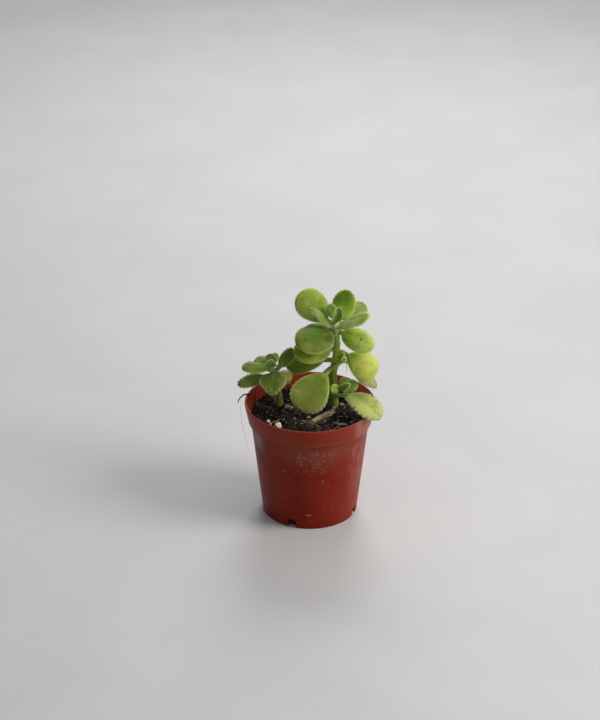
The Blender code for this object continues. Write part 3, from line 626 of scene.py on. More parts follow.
def strand(points, steps):  # a smooth line through a few points
    line = []
    for k in range(steps + 1):
        place = k / steps * (len(points) - 1)
        i = min(int(place), len(points) - 2)
        t = place - i
        p1 = Vector(points[i])
        p2 = Vector(points[i + 1])
        p0 = Vector(points[i - 1]) if i > 0 else 2 * p1 - p2
        p3 = Vector(points[i + 2]) if i + 2 < len(points) else 2 * p2 - p1
        curve = 2 * p1 + (p2 - p0) * t + (2 * p0 - 5 * p1 + 4 * p2 - p3) * t ** 2
        line.append((curve + (3 * p1 - p0 - 3 * p2 + p3) * t ** 3) / 2)
    return line


def fibres(name, strands, radius, finish):  # each strand a list of points in millimetres
    points = []
    edges = []
    thickness = []
    for line in strands:
        start = len(points)
        for k, point in enumerate(line):
            points.append(point * mm)
            share = k / (len(line) - 1)
            thickness.append(0.35 + 0.65 * math.sin(math.pi * min(1, 0.12 + 0.8 * share)))
            if k:
                edges.append((start + k - 1, start + k))
    mesh = bpy.data.meshes.new(name)
    mesh.from_pydata(points, edges, [])
    setValues(mesh, "thickness", thickness)
    piece = grown(name, mesh, fibreTree, {"Radius": radius * mm, "Sides": 6, "Finish": finish})
    piece.data.shade_smooth()
    return dressed(piece)


def tube(name, line, radii, sides, square=0.0):  # closed at both ends
    points = []
    for k, middle in enumerate(line):
        along = (line[min(len(line) - 1, k + 1)] - line[max(0, k - 1)]).normalized()
        across = along.cross(Vector((0, 1, 0))).normalized()
        front = across.cross(along)
        for i in range(sides):
            turn = 2 * math.pi * i / sides
            radius = radii[k] * (1 + square * math.cos(4 * turn))
            points.append(middle + (across * math.cos(turn) + front * math.sin(turn)) * radius)
    faces = ringFaces(len(line), sides) + endFaces(len(line), sides)
    return closedMesh(name, points, faces)


# Pot: turned shell with a rounded lip, a rim band and notches cut in its foot

pot = dict(band=9, bandFoot=28.4, step=27.1, base=21.9, wall=0.95, floor=1.2, lip=0.45,
           round=0.4, floorRound=0.8, underside=3, bandStride=1.15, wallStride=5.6, sides=192,
           notches=4, firstNotch=-112, notchWidth=4.1, notchHeight=4.3, notchReach=3.2,
           notchRound=0.7, cutter=8, sharpFrom=38)
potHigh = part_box("pot")[1]
potHeight = potHigh.z / mm
rimRadius = potHigh.x / mm
stepHeight = potHeight - pot["band"]


def wallRadius(height):  # of the tapered wall's outer face
    return pot["base"] + (pot["step"] - pot["base"]) * height / stepHeight


def innerRadius(height):
    if height <= stepHeight:
        return wallRadius(height) - pot["wall"]
    atRim = rimRadius - pot["wall"] - 2 * pot["lip"] / 3
    low = pot["step"] - pot["wall"]
    return low + (atRim - low) * (height - stepHeight) / pot["band"]


def arc(centre, radius, start, end, count):  # from one angle to another, in degrees
    turns = [math.radians(start + (end - start) * i / (count - 1)) for i in range(count)]
    return [(centre[0] + radius * math.cos(t), centre[1] + radius * math.sin(t)) for t in turns]


def between(start, end, count):  # the points that part a straight run into equal lengths
    return [Vector(start).lerp(Vector(end), i / count) for i in range(1, count)]


def potProfile():  # half a cut through the shell, from its underside round to its floor
    r = pot["round"]
    lip = pot["lip"]
    base, step, foot = (pot[name] for name in ("base", "step", "bandFoot"))
    profile = [(base - pot["underside"], 0)]
    profile += arc((base - r, r), r, -90, 0, 5)
    profile += between((base, r), (step, stepHeight - r), 12)
    profile += arc((step + r, stepHeight - r), r, 180, 90, 4)
    profile += arc((foot - r, stepHeight + r), r, -90, 0, 5)
    profile += between((foot, stepHeight + r), (rimRadius, potHeight - lip), 4)
    profile += arc((rimRadius - lip, potHeight - lip), lip, 0, 180, 9)
    heights = [potHeight - 2 * lip - i * pot["bandStride"] for i in range(1, 8)]
    heights += [stepHeight - 2 - i * pot["wallStride"] for i in range(8)]
    profile += [(innerRadius(height), height) for height in heights]
    profile.append((innerRadius(pot["floor"]) - pot["floorRound"], pot["floor"]))
    return profile


def notchCutter(angle):
    bm = bmesh.new()
    bmesh.ops.create_cube(bm, size=1)
    size = Vector((pot["cutter"], pot["notchWidth"], 2 * pot["notchHeight"])) * mm
    bmesh.ops.scale(bm, vec=size, verts=bm.verts)
    topEdges = [e for e in bm.edges if all(v.co.z > 0 for v in e.verts)
                and abs(e.verts[0].co.y - e.verts[1].co.y) < 1e-6]
    bmesh.ops.bevel(bm, geom=topEdges, offset=pot["notchRound"] * mm, segments=4,
                    affect="EDGES", profile=0.5)
    out = (pot["base"] - pot["notchReach"] + pot["cutter"] / 2) * mm
    bmesh.ops.translate(bm, vec=(out, 0, 0), verts=bm.verts)
    bmesh.ops.rotate(bm, matrix=Matrix.Rotation(angle, 3, "Z"), verts=bm.verts)
    return bpy.data.objects.new("notchCutter", meshFrom(bm, "notchCutter"))


def makePot(material):
    profile = potProfile()
    sides = pot["sides"]
    turns = [2 * math.pi * i / sides for i in range(sides)]
    points = [Vector((reach * math.cos(t), reach * math.sin(t), height))
              for reach, height in profile for t in turns]
    faces = ringFaces(len(profile), sides) + endFaces(len(profile), sides)
    shell = addObject("potShell", closedMesh("potShell", points, faces), material)
    cutters = bpy.data.collections.new("notchCutters")
    scene.collection.children.link(cutters)
    for i in range(pot["notches"]):
        turn = math.radians(pot["firstNotch"] + 360 * i / pot["notches"])
        cutters.objects.link(notchCutter(turn))
    cut = shell.modifiers.new("notches", "BOOLEAN")
    cut.operand_type = "COLLECTION"
    cut.collection = cutters
    cut.solver = "EXACT"
    shell.data = flattened(shell)
    for cutter in list(cutters.objects):
        bpy.data.objects.remove(cutter)
    bpy.data.collections.remove(cutters)
    shell.data.shade_smooth()
    shell.data.set_sharp_from_angle(angle=math.radians(pot["sharpFrom"]))
    dressed(shell, "pot")


makePot(mouldedPolypropylene())
print("pot is made")


# Soil: a lumpy plug of peat with crumbs, fibres, perlite and a sliver of bark on it

soil = dict(top=49, lumpHeight=1.05, lumpSize=7, crumbHeight=0.4, crumbSize=2.6, fineHeight=0.5,
            fineSize=1.1, rings=84, sides=180, seatMargin=1.4, seatSlope=2, gap=0.05,
            lowRings=(2.4, 1.6))
bark = dict(start=(0.9, -9.9), end=(11.2, 1.4), width=3.3, sunk=0.10, ridges=0.34, torn=0.16,
            wider=0.30, widest=14)
foam = dict(coarse=0.36, fine=0.18, pits=0.12, flatBelow=-0.6, ofBox=0.99)
litter = dict(  # as (how many in a square metre, smallest, largest, how far each may tilt)
    soilCrumbs=(1500000, 0.25, 0.95, math.pi), soilLumps=(170000, 0.9, 2.3, math.pi),
    soilShreds=(90000, 0.6, 1.5, 0.35), perliteFines=(28000, 0.3, 0.9, math.pi), seed=11)
roots = dict(count=46, within=25, farthest=25.5, front=(8, 22), frontTurns=(-95, -40),
             lift=0.35, hump=0.9, bend=0.7, stride=(0.8, 2.0), steps=14, dark=0.13, pale=0.15,
             seed=11)
pebbles = dict(  # as (x, y, size), and fibres as lines of (x, y, height over the soil)
    stained=((-10.5, 4.1, 2.1), (-0.7, -5.6, 1.5), (14.7, 5.8, 1.9), (10.5, 3.6, 1.3),
             (12.3, 5.0, 1.2), (9.3, 1.2, 1.1), (12.7, -8.6, 1.6)),
    white=((5.4, -10.9, 0.8), (6.6, -9.5, 0.8), (-17.9, -11.7, 0.8), (-11.9, -6.9, 0.7),
           (11.4, 4.4, 0.9)),
    dark=(((-20.2, 0.2, 0.6), (-19.4, 1.2, 1.3), (-18.4, 2.0, 1.2), (-17.5, 2.7, 0.5)),
          ((-20.8, -1.4, 0.5), (-19.6, -0.4, 1.0), (-18.3, 0.2, 0.6)),
          ((2.2, -11.4, 0.4), (4.4, -9.6, 1.3), (7.0, -7.3, 1.5), (9.2, -4.8, 0.6)),
          ((3.6, -12.2, 0.4), (5.8, -10.2, 1.2), (8.4, -8.4, 1.2), (10.6, -6.6, 0.5)),
          ((1.2, -12.0, 0.5), (3.8, -11.2, 1.0), (6.4, -9.0, 1.4), (9.6, -6.2, 1.1)),
          ((0.2, -9.2, 0.6), (2.4, -7.2, 1.4), (4.6, -4.9, 1.6), (6.6, -2.8, 0.8)),
          ((10.4, -1.6, 0.9), (11.6, -0.2, 1.9), (13.0, 1.2, 1.5), (14.2, 2.0, 0.5)),
          ((9.6, 0.9, 1.2), (10.4, 2.4, 2.0), (11.6, 3.6, 1.6), (12.6, 4.2, 0.6)),
          ((-4.6, -13.3, 0.4), (-2.0, -13.9, 1.1), (1.4, -13.6, 1.3), (4.5, -14.3, 0.4)),
          ((-3.4, -15.0, 0.4), (-1.0, -14.6, 1.0), (1.8, -15.2, 0.9), (3.6, -16.2, 0.3)),
          ((-2.4, -11.6, 0.5), (-0.6, -12.6, 1.0), (0.9, -14.2, 1.1), (1.5, -16.0, 0.4)),
          ((-0.8, -10.8, 0.5), (1.2, -11.9, 1.2), (2.6, -13.5, 1.0), (3.0, -15.2, 0.4))),
    pale=(((-5.2, -12.4, 0.5), (-2.9, -12.9, 1.3), (-0.2, -12.4, 1.5), (2.6, -12.9, 0.6)),
          ((-2.8, -9.9, 0.4), (-1.7, -9.4, 1.1), (-0.4, -9.8, 1.1), (0.6, -10.6, 0.5)),
          ((0.4, -13.2, 0.6), (2.2, -13.9, 1.2), (4.0, -15.0, 1.1), (5.2, -16.4, 0.4)),
          ((2.0, -10.6, 0.8), (4.4, -8.4, 1.7), (6.8, -5.8, 1.9), (9.0, -3.0, 1.2)),
          ((8.6, -2.8, 1.3), (10.2, -0.9, 2.2), (11.9, 0.6, 2.3), (13.3, 1.5, 1.4))))
grains = [name for name in sorted(frame["nodes"]) if name.startswith("perlite_grain")]


def seats():  # what lies on the soil, as (x, y, radius)
    found = []
    for name in grains:
        low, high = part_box(name)
        middle = (low + high) / 2 / mm
        found.append((middle.x, middle.y, (high.x - low.x) / 2 / mm))
    start = Vector(bark["start"])
    end = Vector(bark["end"])
    for i in range(5):
        spot = start.lerp(end, i / 4)
        found.append((spot.x, spot.y, bark["width"] / 2))
    return found


def soilHeight(x, y, resting):  # and how clear of what rests on it the soil is, from 0 to 1
    lumps = noise.noise(Vector((x / soil["lumpSize"], y / soil["lumpSize"], 3.1)))
    crumbs = noise.noise(Vector((x / soil["crumbSize"], y / soil["crumbSize"], 8.7)))
    fine = noise.noise(Vector((x / soil["fineSize"], y / soil["fineSize"], 5.2)))
    relief = soil["lumpHeight"] * lumps + soil["crumbHeight"] * crumbs
    clear = 1.0
    for seatX, seatY, radius in resting:
        away = math.hypot(x - seatX, y - seatY) - radius - soil["seatMargin"]
        clear *= min(1, max(0, away / soil["seatSlope"]))
    return soil["top"] + relief * clear + soil["fineHeight"] * fine * max(0.25, clear), clear


def soilMesh(resting):
    sides = soil["sides"]
    topRings = soil["rings"]
    topRadius = innerRadius(soil["top"]) - soil["gap"]
    rings = [(topRadius * k / topRings, None) for k in range(1, topRings + 1)]
    rings += [(innerRadius(height) - soil["gap"], height)
              for height in (stepHeight, *soil["lowRings"])]
    points = [(0, 0, soilHeight(0, 0, resting)[0])]
    cover = [1.0]
    for k, (radius, height) in enumerate(rings, 1):
        for i in range(sides):
            turn = 2 * math.pi * (i + 0.5 * (min(k, topRings) % 2)) / sides
            x = radius * math.cos(turn)
            y = radius * math.sin(turn)
            top, clear = soilHeight(x, y, resting) if height is None else (height, 0)
            points.append((x, y, top))
            cover.append(0.35 + 0.65 * clear if height is None else 0)
    faces = [(0, 1 + i, 1 + (i + 1) % sides) for i in range(sides)]
    for a in range(1, (len(rings) - 1) * sides, sides):
        for i in range(sides):
            j = (i + 1) % sides
            faces.append((a + i, a + sides + i, a + sides + j, a + j))
    last = 1 + (len(rings) - 1) * sides
    faces.append(tuple(reversed(range(last, last + sides))))
    mesh = bpy.data.meshes.new("soilBed")
    mesh.from_pydata([Vector(p) * mm for p in points], [], faces)
    mesh.shade_smooth()
    setValues(mesh, "cover", cover)
    return mesh


def makeSoil(resting):
    mesh = soilMesh(resting)
    dressed(addObject("soilBed", mesh, peat), "soil")
    crumbs = shapeSet("crumb", [lump("crumb", 1, 0.9, 0.7, i) for i in range(6)])
    lumps = shapeSet("lump", [lump("lump", 2, 1.1, 0.6, 20 + i) for i in range(5)])
    shreds = shapeSet("shred", [shred("shred", i) for i in range(5)])
    for number, (name, shapes, finish, slot) in enumerate((
            ("soilCrumbs", crumbs, peat, "soil"), ("soilLumps", lumps, peat, "soil"),
            ("soilShreds", shreds, brownFibre, "bark"),
            ("perliteFines", crumbs, perlite, "perlite"))):
        density, smallest, largest, tilt = litter[name]
        dressed(grown(name, mesh, scatterTree, {
            "Shapes": shapes, "Per square metre": density, "Smallest": smallest * mm,
            "Largest": largest * mm, "Tilt": tilt, "Seed": litter["seed"] + number,
            "Finish": finish}))
    mesh.attributes.remove(mesh.attributes["cover"])


def makeRoots(resting):
    chooser = random.Random(roots["seed"])
    groups = {"dark": [], "pale": []}
    for number in range(roots["count"]):
        radius = roots["within"] * math.sqrt(chooser.random())
        turn = chooser.uniform(0, 2 * math.pi)
        if number % 3 == 0:  # more of them lie at the front, where the bark's frayed end is
            radius = chooser.uniform(*roots["front"])
            turn = math.radians(chooser.uniform(*roots["frontTurns"]))
        x = radius * math.cos(turn)
        y = radius * math.sin(turn)
        heading = chooser.uniform(0, 2 * math.pi)
        points = []
        for k in range(5):
            if math.hypot(x, y) > roots["farthest"]:
                break
            hump = roots["hump"] * chooser.random() * math.sin(math.pi * k / 4)
            lift = roots["lift"] + hump
            points.append((x, y, soilHeight(x, y, resting)[0] + lift))
            heading += chooser.uniform(-roots["bend"], roots["bend"])
            stride = chooser.uniform(*roots["stride"])
            x += stride * math.cos(heading)
            y += stride * math.sin(heading)
        if len(points) > 2:
            kind = "pale" if number % 4 == 0 else "dark"
            groups[kind].append(strand(points, roots["steps"]))
    for kind, finish in (("dark", brownFibre), ("pale", paleFibre)):
        for line in pebbles[kind]:
            points = [(x, y, soilHeight(x, y, resting)[0] + lift) for x, y, lift in line]
            groups[kind].append(strand(points, roots["steps"]))
        fibres(kind + "Roots", groups[kind], roots[kind], finish)


def makePebbles(resting):
    for kind, finish in (("stained", stainedPerlite), ("white", perlite)):
        stones = []
        for number, (x, y, size) in enumerate(pebbles[kind]):
            stone = lump(kind, 3, 0.7, 0.8, 40 + number)
            height = soilHeight(x, y, resting)[0] + 0.45 * size
            stone.transform(Matrix.Translation(Vector((x, y, height)) * mm)
                            @ Matrix.Scale(size * mm, 4))
            stones.append(stone)
        dressed(joined(kind + "Pebbles", stones, finish))


def makeGrains():
    for number, name in enumerate(grains):
        low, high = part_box(name)
        middle = (low + high) / 2
        bm = bmesh.new()
        bmesh.ops.create_icosphere(bm, subdivisions=5, radius=1)
        for vert in bm.verts:
            coarse = noise.noise(vert.co * 1.3 + Vector((number * 5, 0, 0)))
            fine = noise.noise(vert.co * 4.5 + Vector((number * 9, 3, 0)))
            pits = noise.noise(vert.co * 11 + Vector((0, number * 4, 7)))
            relief = foam["coarse"] * coarse + foam["fine"] * fine - foam["pits"] * max(0, pits)
            vert.co *= 1 + relief
            vert.co.z = max(vert.co.z, foam["flatBelow"])
        size = [max(abs(v.co[k]) for v in bm.verts) for k in range(3)]
        half = (high - low) / 2
        for vert in bm.verts:  # a little smaller than the solid's box
            vert.co = Vector([middle[k] + vert.co[k] / size[k] * half[k] * foam["ofBox"]
                              for k in range(3)])
        mesh = meshFrom(bm, name + "_foam")
        mesh.shade_smooth()
        white = middle.x < -12 * mm  # the two at the front left; the others are stained
        piece = addObject(name + "_foam", mesh, perlite if white else stainedPerlite)
        dressed(piece, name)


def makeBark():
    start = Vector(bark["start"])
    along = (Vector(bark["end"]) - start).normalized()
    across = Vector((-along.y, along.x))
    bm = bmesh.new()
    bm.from_mesh(frame["nodes"]["bark_chip"].data)
    bmesh.ops.remove_doubles(bm, verts=bm.verts[:], dist=0.01 * mm)
    for cuts in (3, 1):
        bmesh.ops.subdivide_edges(bm, edges=bm.edges[:], cuts=cuts, use_grid_fill=True)
    bm.normal_update()
    low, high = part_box("bark_chip")
    offsets = []
    for vert in bm.verts:
        flat = vert.co.xy / mm - start
        length = flat.dot(along)
        side = flat.dot(across)
        ridge = noise.noise(Vector((length * 0.35, side * 3.2, vert.co.z / mm * 3.2)))
        torn = noise.noise(Vector((length * 1.6, side * 2.0, 4)))
        # broader towards its upper end, as far as the solid's own place allows
        wider = across.to_3d() * side * bark["wider"] * min(1, max(0, length / bark["widest"]))
        out = -bark["sunk"] - bark["ridges"] * ridge - bark["torn"] * torn
        offsets.append((vert.normal * out + wider) * mm)
    for vert, offset in zip(bm.verts, offsets):
        vert.co += offset
        vert.co.z = min(max(vert.co.z, low.z), high.z)
    bmesh.ops.triangulate(bm, faces=bm.faces[:])
    mesh = meshFrom(bm, "barkSliver")
    mesh.shade_smooth()
    skin = splitBark(math.atan2(along.y, along.x))
    dressed(addObject("barkSliver", mesh, skin), "bark_chip")


peat = dampPeat()
perlite = expandedPerlite("expandedPerlite", "#e6ddd2", "#8d7a68", 0.45)
stainedPerlite = expandedPerlite("stainedPerlite", "#8f8b7c", "#433e32", 0.75)
brownFibre = dryFibre("brownRootFibre", "#7a6046", "#2e2219")
paleFibre = dryFibre("paleRootFibre", "#b8a787", "#6d5a44")
resting = seats()
makeSoil(resting)
makeRoots(resting)
makePebbles(resting)
makeGrains()
makeBark()
print("soil, perlite and bark are made")


# Stems. Each swells where leaves leave it, and joint is how far along and how far out one
# swelling goes. The main stem ends in a cushion that the top leaves stand on, as (height,
# half its depth, how far it stands out).

stems = dict(
    joint=(0.9, 0.22), steps=150, sides=24, square=0.04, downyAbove=50,
    main=dict(path=((11.4, 7, 46), (11.4, 7, 50), (10.7, 7, 57), (10.5, 7, 64.5), (11.3, 7, 71),
                    (12.0, 7, 77.5), (12.1, 7, 84.5), (11.1, 7, 91.6), (10.9, 7, 93.2)),
              radii=(1.95, 1.2), cushion=(91.0, 1.7, 0.75),
              joints=(54.9, 58.5, 68.8, 72.5, 77.5, 81, 86.5, 90.6)),
    left=dict(path=((-14, 7.9, 46), (-14, 7.9, 50), (-14.7, 7.6, 56), (-16.1, 6.9, 63),
                    (-17.5, 6, 68.5), (-17.8, 5.9, 70.2)),
              radii=(1.65, 1.05), joints=(65.5, 67.8)))


def stemMiddle(name, height):
    line = strand(stems[name]["path"], 400)
    nearest = min(range(len(line)), key=lambda i: abs(line[i].z - height))
    return line[nearest], nearest / 400


def stemRadius(name, share):
    first, last = stems[name]["radii"]
    return first + (last - first) * share


def makeStem(name, material):
    stem = stems[name]
    reach, swell = stems["joint"]
    line = strand(stem["path"], stems["steps"])
    radii = []
    for k, point in enumerate(line):
        share = k / stems["steps"]
        swelling = sum(math.exp(-((point.z - joint) / reach) ** 2) for joint in stem["joints"])
        waver = 0.05 * noise.noise(Vector((point.z / 3, 0, 2)))
        if "cushion" in stem:
            height, depth, rise = stem["cushion"]
            waver += rise * math.exp(-((point.z - height) / depth) ** 2)
        rounded = math.sqrt(max(0, 1 - (max(0, share - 0.97) / 0.031) ** 2))  # at the far end
        radius = stemRadius(name, share) + swell * min(1, swelling) + waver
        radii.append(max(0.05, radius * rounded))
    mesh = tube(name + "Stem", line, radii, stems["sides"], stems["square"])
    setValues(mesh, "cover", [1.0 if v.co.z > stems["downyAbove"] * mm else 0.3
                              for v in mesh.vertices])
    return dressed(addObject(name + "Stem", mesh, material), name + "_stem")


# Leaves. Each has its stem and height on it, where its tip ends, its width, the way its
# upper face looks, its arch along the midrib, its droop to the margins, its stalk as a
# share of its length, how far its widest place lies towards the tip, and its colours near
# the stalk, near the tip and along the margin. Where it has them, stout thickens the stalk,
# taper narrows the blade towards its foot and point towards its tip, bold makes its
# scallops larger, fold lifts both halves from the midrib, and round is the path of a stalk
# that bends round the stem. Spots are (along, across, radius in millimetres, colour, share),
# with along and across as shares of the length and of half the width.

# pitch and depth are those of the scallops, plain is the share of the margin that has none,
# step and across are the mesh's, and inset is how much smaller a blade is, for its hairs to fit
blade = dict(thickness=1.5, stalkRadius=0.75, stout=1.45, pitch=1.8, depth=0.62, plain=0.45,
             step=0.26, across=11, inset=0.40, wave=0.25, fold=0.4, standOff=0.65, root=0.2)
youngBlade = dict(thickness=0.9, stalkRadius=0.5, stout=1.0, pitch=1.2, depth=0.26, plain=0.45,
                  step=0.20, across=9, inset=0.12, stalk=0.08, arch=0.3)
veins = dict(count=7, slant=0.16, ribWidth=0.45, groove=0.20, ridge=0.32, cushion=0.06)
roundStalk = dict(steps=24, radius=1.0, first=0.75, last=0.6)
shootCore = dict(steps=16, narrowing=0.35, last=0.3)
# surface and edge are how thickly the hairs stand on a leaf's faces and along its margin
hairs = dict(perSquareMetre=9.0e6, shortest=0.30, longest=0.62, thickness=0.028, tilt=0.45,
             bends=(0.05, 0.18, 0.3), surface=0.3, edge=9.0, onStems=0.9, onShoots=1.6,
             shootLength=0.8)

# every leaf's colours hold the light and shade that falls on it as well as its own colour, so they
# are partly painted light and shade
leaves = dict(
    leaf_top_left_back=dict(
        stem="main", height=90.4, tip=(-5.0, 17, 102.0), width=14.0, face=(0.1, -0.85, 0.5),
        arch=1.0, droop=1.5, stalk=0.14, fullness=0.15, tones=("#76912f", "#8eaa3c", "#b8c783")),
    leaf_top_left_edge=dict(
        stem="main", height=91.0, tip=(-0.3, 1.5, 101.0), width=4.8, face=(0.0, -0.35, 0.9),
        arch=0.6, droop=0.6, stalk=0.08, fullness=0.35, stout=2.0,
        tones=("#6b842c", "#6a7d3d", "#9eae6a")),
    leaf_top_back=dict(
        stem="main", height=90.4, tip=(17.4, 15, 104.4), width=10.2, face=(0.0, -0.9, 0.4),
        arch=0.6, droop=1.0, stalk=0.12, fullness=0.0, tones=("#89a638", "#527908", "#c0ce71")),
    leaf_top_right_small=dict(
        stem="main", height=88.3, tip=(25.2, 19, 95.4), width=8.0, face=(0.0, -0.75, 0.65),
        arch=0.5, droop=0.5, stalk=0.25, fullness=0.45, tones=("#7d8e4a", "#808e47", "#aab882")),
    leaf_top_right_front=dict(
        stem="main", height=90.0, tip=(27.0, 1, 97.7), width=8.0, face=(-0.1, -0.3, 0.95),
        arch=0.6, droop=0.7, stalk=0.04, fullness=0.15, stout=2.1,
        tones=("#c6d983", "#95a64d", "#cbd990")),
    leaf_upper_front_left=dict(
        stem="main", height=86.0, tip=(-6.3, -7.5, 87.4), width=14.6, face=(-0.15, -0.75, 0.75),
        arch=2.0, droop=2.0, stalk=0.03, fullness=0.02, tones=("#3a5007", "#556519", "#8c9a4b"),
        # the first, broad deep green spot is painted shade
        spots=((0.45, -0.30, 4.5, "#3f7a06", 0.45), (0.85, 0.55, 3.0, "#8a8a3a", 0.20),
               (0.80, -0.05, 0.8, "#2c3a10", 0.8), (0.41, 0.0, 0.8, "#2c3a10", 0.7))),
    leaf_upper_left_back=dict(
        stem="main", height=87.6, tip=(-4.2, 14, 81.9), width=8.2, face=(-0.1, -0.6, 0.8),
        arch=1.8, droop=1.0, stalk=0.10, fullness=0.05, tones=("#9bb51a", "#363e18", "#959f50")),
    leaf_upper_right=dict(
        stem="main", height=87.0, tip=(29.2, 1, 81.6), width=10.2, face=(0.1, -0.9, 0.6),
        arch=1.6, droop=1.5, stalk=0.06, fullness=0.02, tones=("#759d20", "#adbc57", "#cdd687"),
        spots=((0.60, 0.14, 0.65, "#2c3a10", 0.7),)),
    leaf_middle_front_left=dict(
        stem="main", height=78.6, tip=(-7.6, -4, 81.4), width=11.4, face=(-0.2, -0.75, 0.65),
        arch=2.0, droop=2.0, stalk=0.08, fullness=0.10, tones=("#526f20", "#809521", "#a0ae55")),
    leaf_middle_right=dict(
        stem="main", height=77.0, tip=(30.6, 3, 67.3), width=12.8, face=(0.15, -0.9, 0.6),
        arch=1.8, droop=1.8, stalk=0.18, fullness=0.05, taper=0.30,
        tones=("#90a632", "#bac35e", "#c5cf78"),
        spots=((0.62, -0.25, 2.8, "#c48a44", 0.20), (0.90, -0.30, 2.0, "#8c9a3a", 0.40))),
    leaf_middle_left_dark=dict(
        stem="main", height=72.4, tip=(-11.4, 12.5, 68.3), width=12.0, face=(-0.1, -0.7, 0.7),
        arch=1.5, droop=1.2, stalk=0.16, fullness=0.25, tones=("#717b1a", "#6c821c", "#a6b252")),
    leaf_low_front_left=dict(
        stem="main", height=68.8, tip=(-5.0, -10.5, 55.8), width=17.4, face=(-0.15, -0.9, 0.6),
        arch=2.6, droop=1.5, stalk=0.16, fullness=0.24, taper=0.28, stout=1.2, bold=1.2,
        fold=2.4, tones=("#66781f", "#748435", "#aeb969"),
        round=((13.3, 6.2, 71.6), (12.4, 4.7, 71.2), (10.8, 4.0, 70.6), (9.0, 3.9, 69.6),
               (7.4, 3.4, 68.4), (6.2, 2.6, 67.2)),
        # the first two spots, darker green along the midrib, are painted shade in the crease
        spots=((0.36, -0.22, 3.2, "#3a5c12", 0.45), (0.52, -0.16, 2.8, "#3a5c12", 0.35),
               (0.45, 0.50, 3.0, "#5f9a1e", 0.30), (0.80, 0.45, 3.5, "#a0913c", 0.25))),
    leaf_low_right_back=dict(
        stem="main", height=73.5, tip=(31.0, 10.5, 56.4), width=9.0, face=(0.1, -0.5, 0.9),
        arch=2.0, droop=0.8, stalk=0.25, fullness=-0.10, point=0.45,
        tones=("#818746", "#949859", "#b3b781")),
    leaf_base_right_front=dict(
        stem="main", height=54.9, tip=(31.4, -18.2, 55.3), width=11.6, face=(0.1, -0.40, 0.92),
        arch=4.8, droop=0.6, stalk=0.30, fullness=0.32, stout=2.0, bold=1.3, fold=1.0,
        tones=("#607229", "#b4bb68", "#b4bd81"),
        spots=((0.66, 0.90, 0.5, "#1a1c0a", 0.9), (0.66, -0.90, 0.5, "#1a1c0a", 0.9))),
    leaf_middle_back=dict(
        stem="main", height=81.0, tip=(0.5, 20, 79.5), width=11.0, face=(-0.2, 0.3, 0.9),
        arch=1.5, droop=1.5, stalk=0.15, fullness=0.30, tones=("#688634", "#7c9444", "#a9b976")),
    leaf_base_left_back=dict(
        stem="main", height=55.0, tip=(0.6, 17, 53.8), width=9.5, face=(-0.2, 0.2, 0.9),
        arch=1.5, droop=1.2, stalk=0.25, fullness=0.40, tones=("#7c9440", "#96a654", "#b8c484")),
    leaf_left_upper=dict(
        stem="left", height=68.7, tip=(-31.3, 1, 71.3), width=6.4, face=(0.0, -0.45, 0.9),
        arch=1.4, droop=0.8, stalk=0.12, fullness=0.10, tones=("#7c9d32", "#637a32", "#b3c079")),
    leaf_left_lower=dict(
        stem="left", height=65.2, tip=(-33.3, 1, 62.6), width=6.0, face=(-0.1, -0.6, 0.8),
        arch=1.0, droop=0.8, stalk=0.20, fullness=0.15, tones=("#577311", "#626e32", "#aeb869")),
    leaf_left_front=dict(
        stem="left", height=66.6, tip=(-17.0, -7, 61.2), width=11.4, face=(0.0, -0.75, 0.7),
        arch=1.4, droop=1.0, stalk=0.06, fullness=-0.15, point=0.45, fold=1.4,
        tones=("#5e6d23", "#4c6419", "#a6ad69")),
    leaf_left_right_front=dict(
        stem="left", height=66.4, tip=(-8.3, 4.5, 63.2), width=6.4, face=(0.2, -0.6, 0.8),
        arch=1.0, droop=0.8, stalk=0.12, fullness=0.10, tones=("#8f9e51", "#a29f4a", "#cbc688")),
    leaf_left_back=dict(
        stem="left", height=67.4, tip=(-24.8, 11.5, 71.7), width=7.4, face=(0.0, -0.4, 0.9),
        arch=0.6, droop=0.6, stalk=0.20, fullness=-0.05, tones=("#818e53", "#8c9560", "#b6bf8a")),
    leaf_left_right_up=dict(
        stem="left", height=68.1, tip=(-6.9, 7.2, 78.4), width=5.8, face=(-0.1, -0.85, 0.5),
        arch=0.8, droop=1.0, stalk=0.20, fullness=0.15, tones=("#5f7c2e", "#516524", "#b8c17a")))

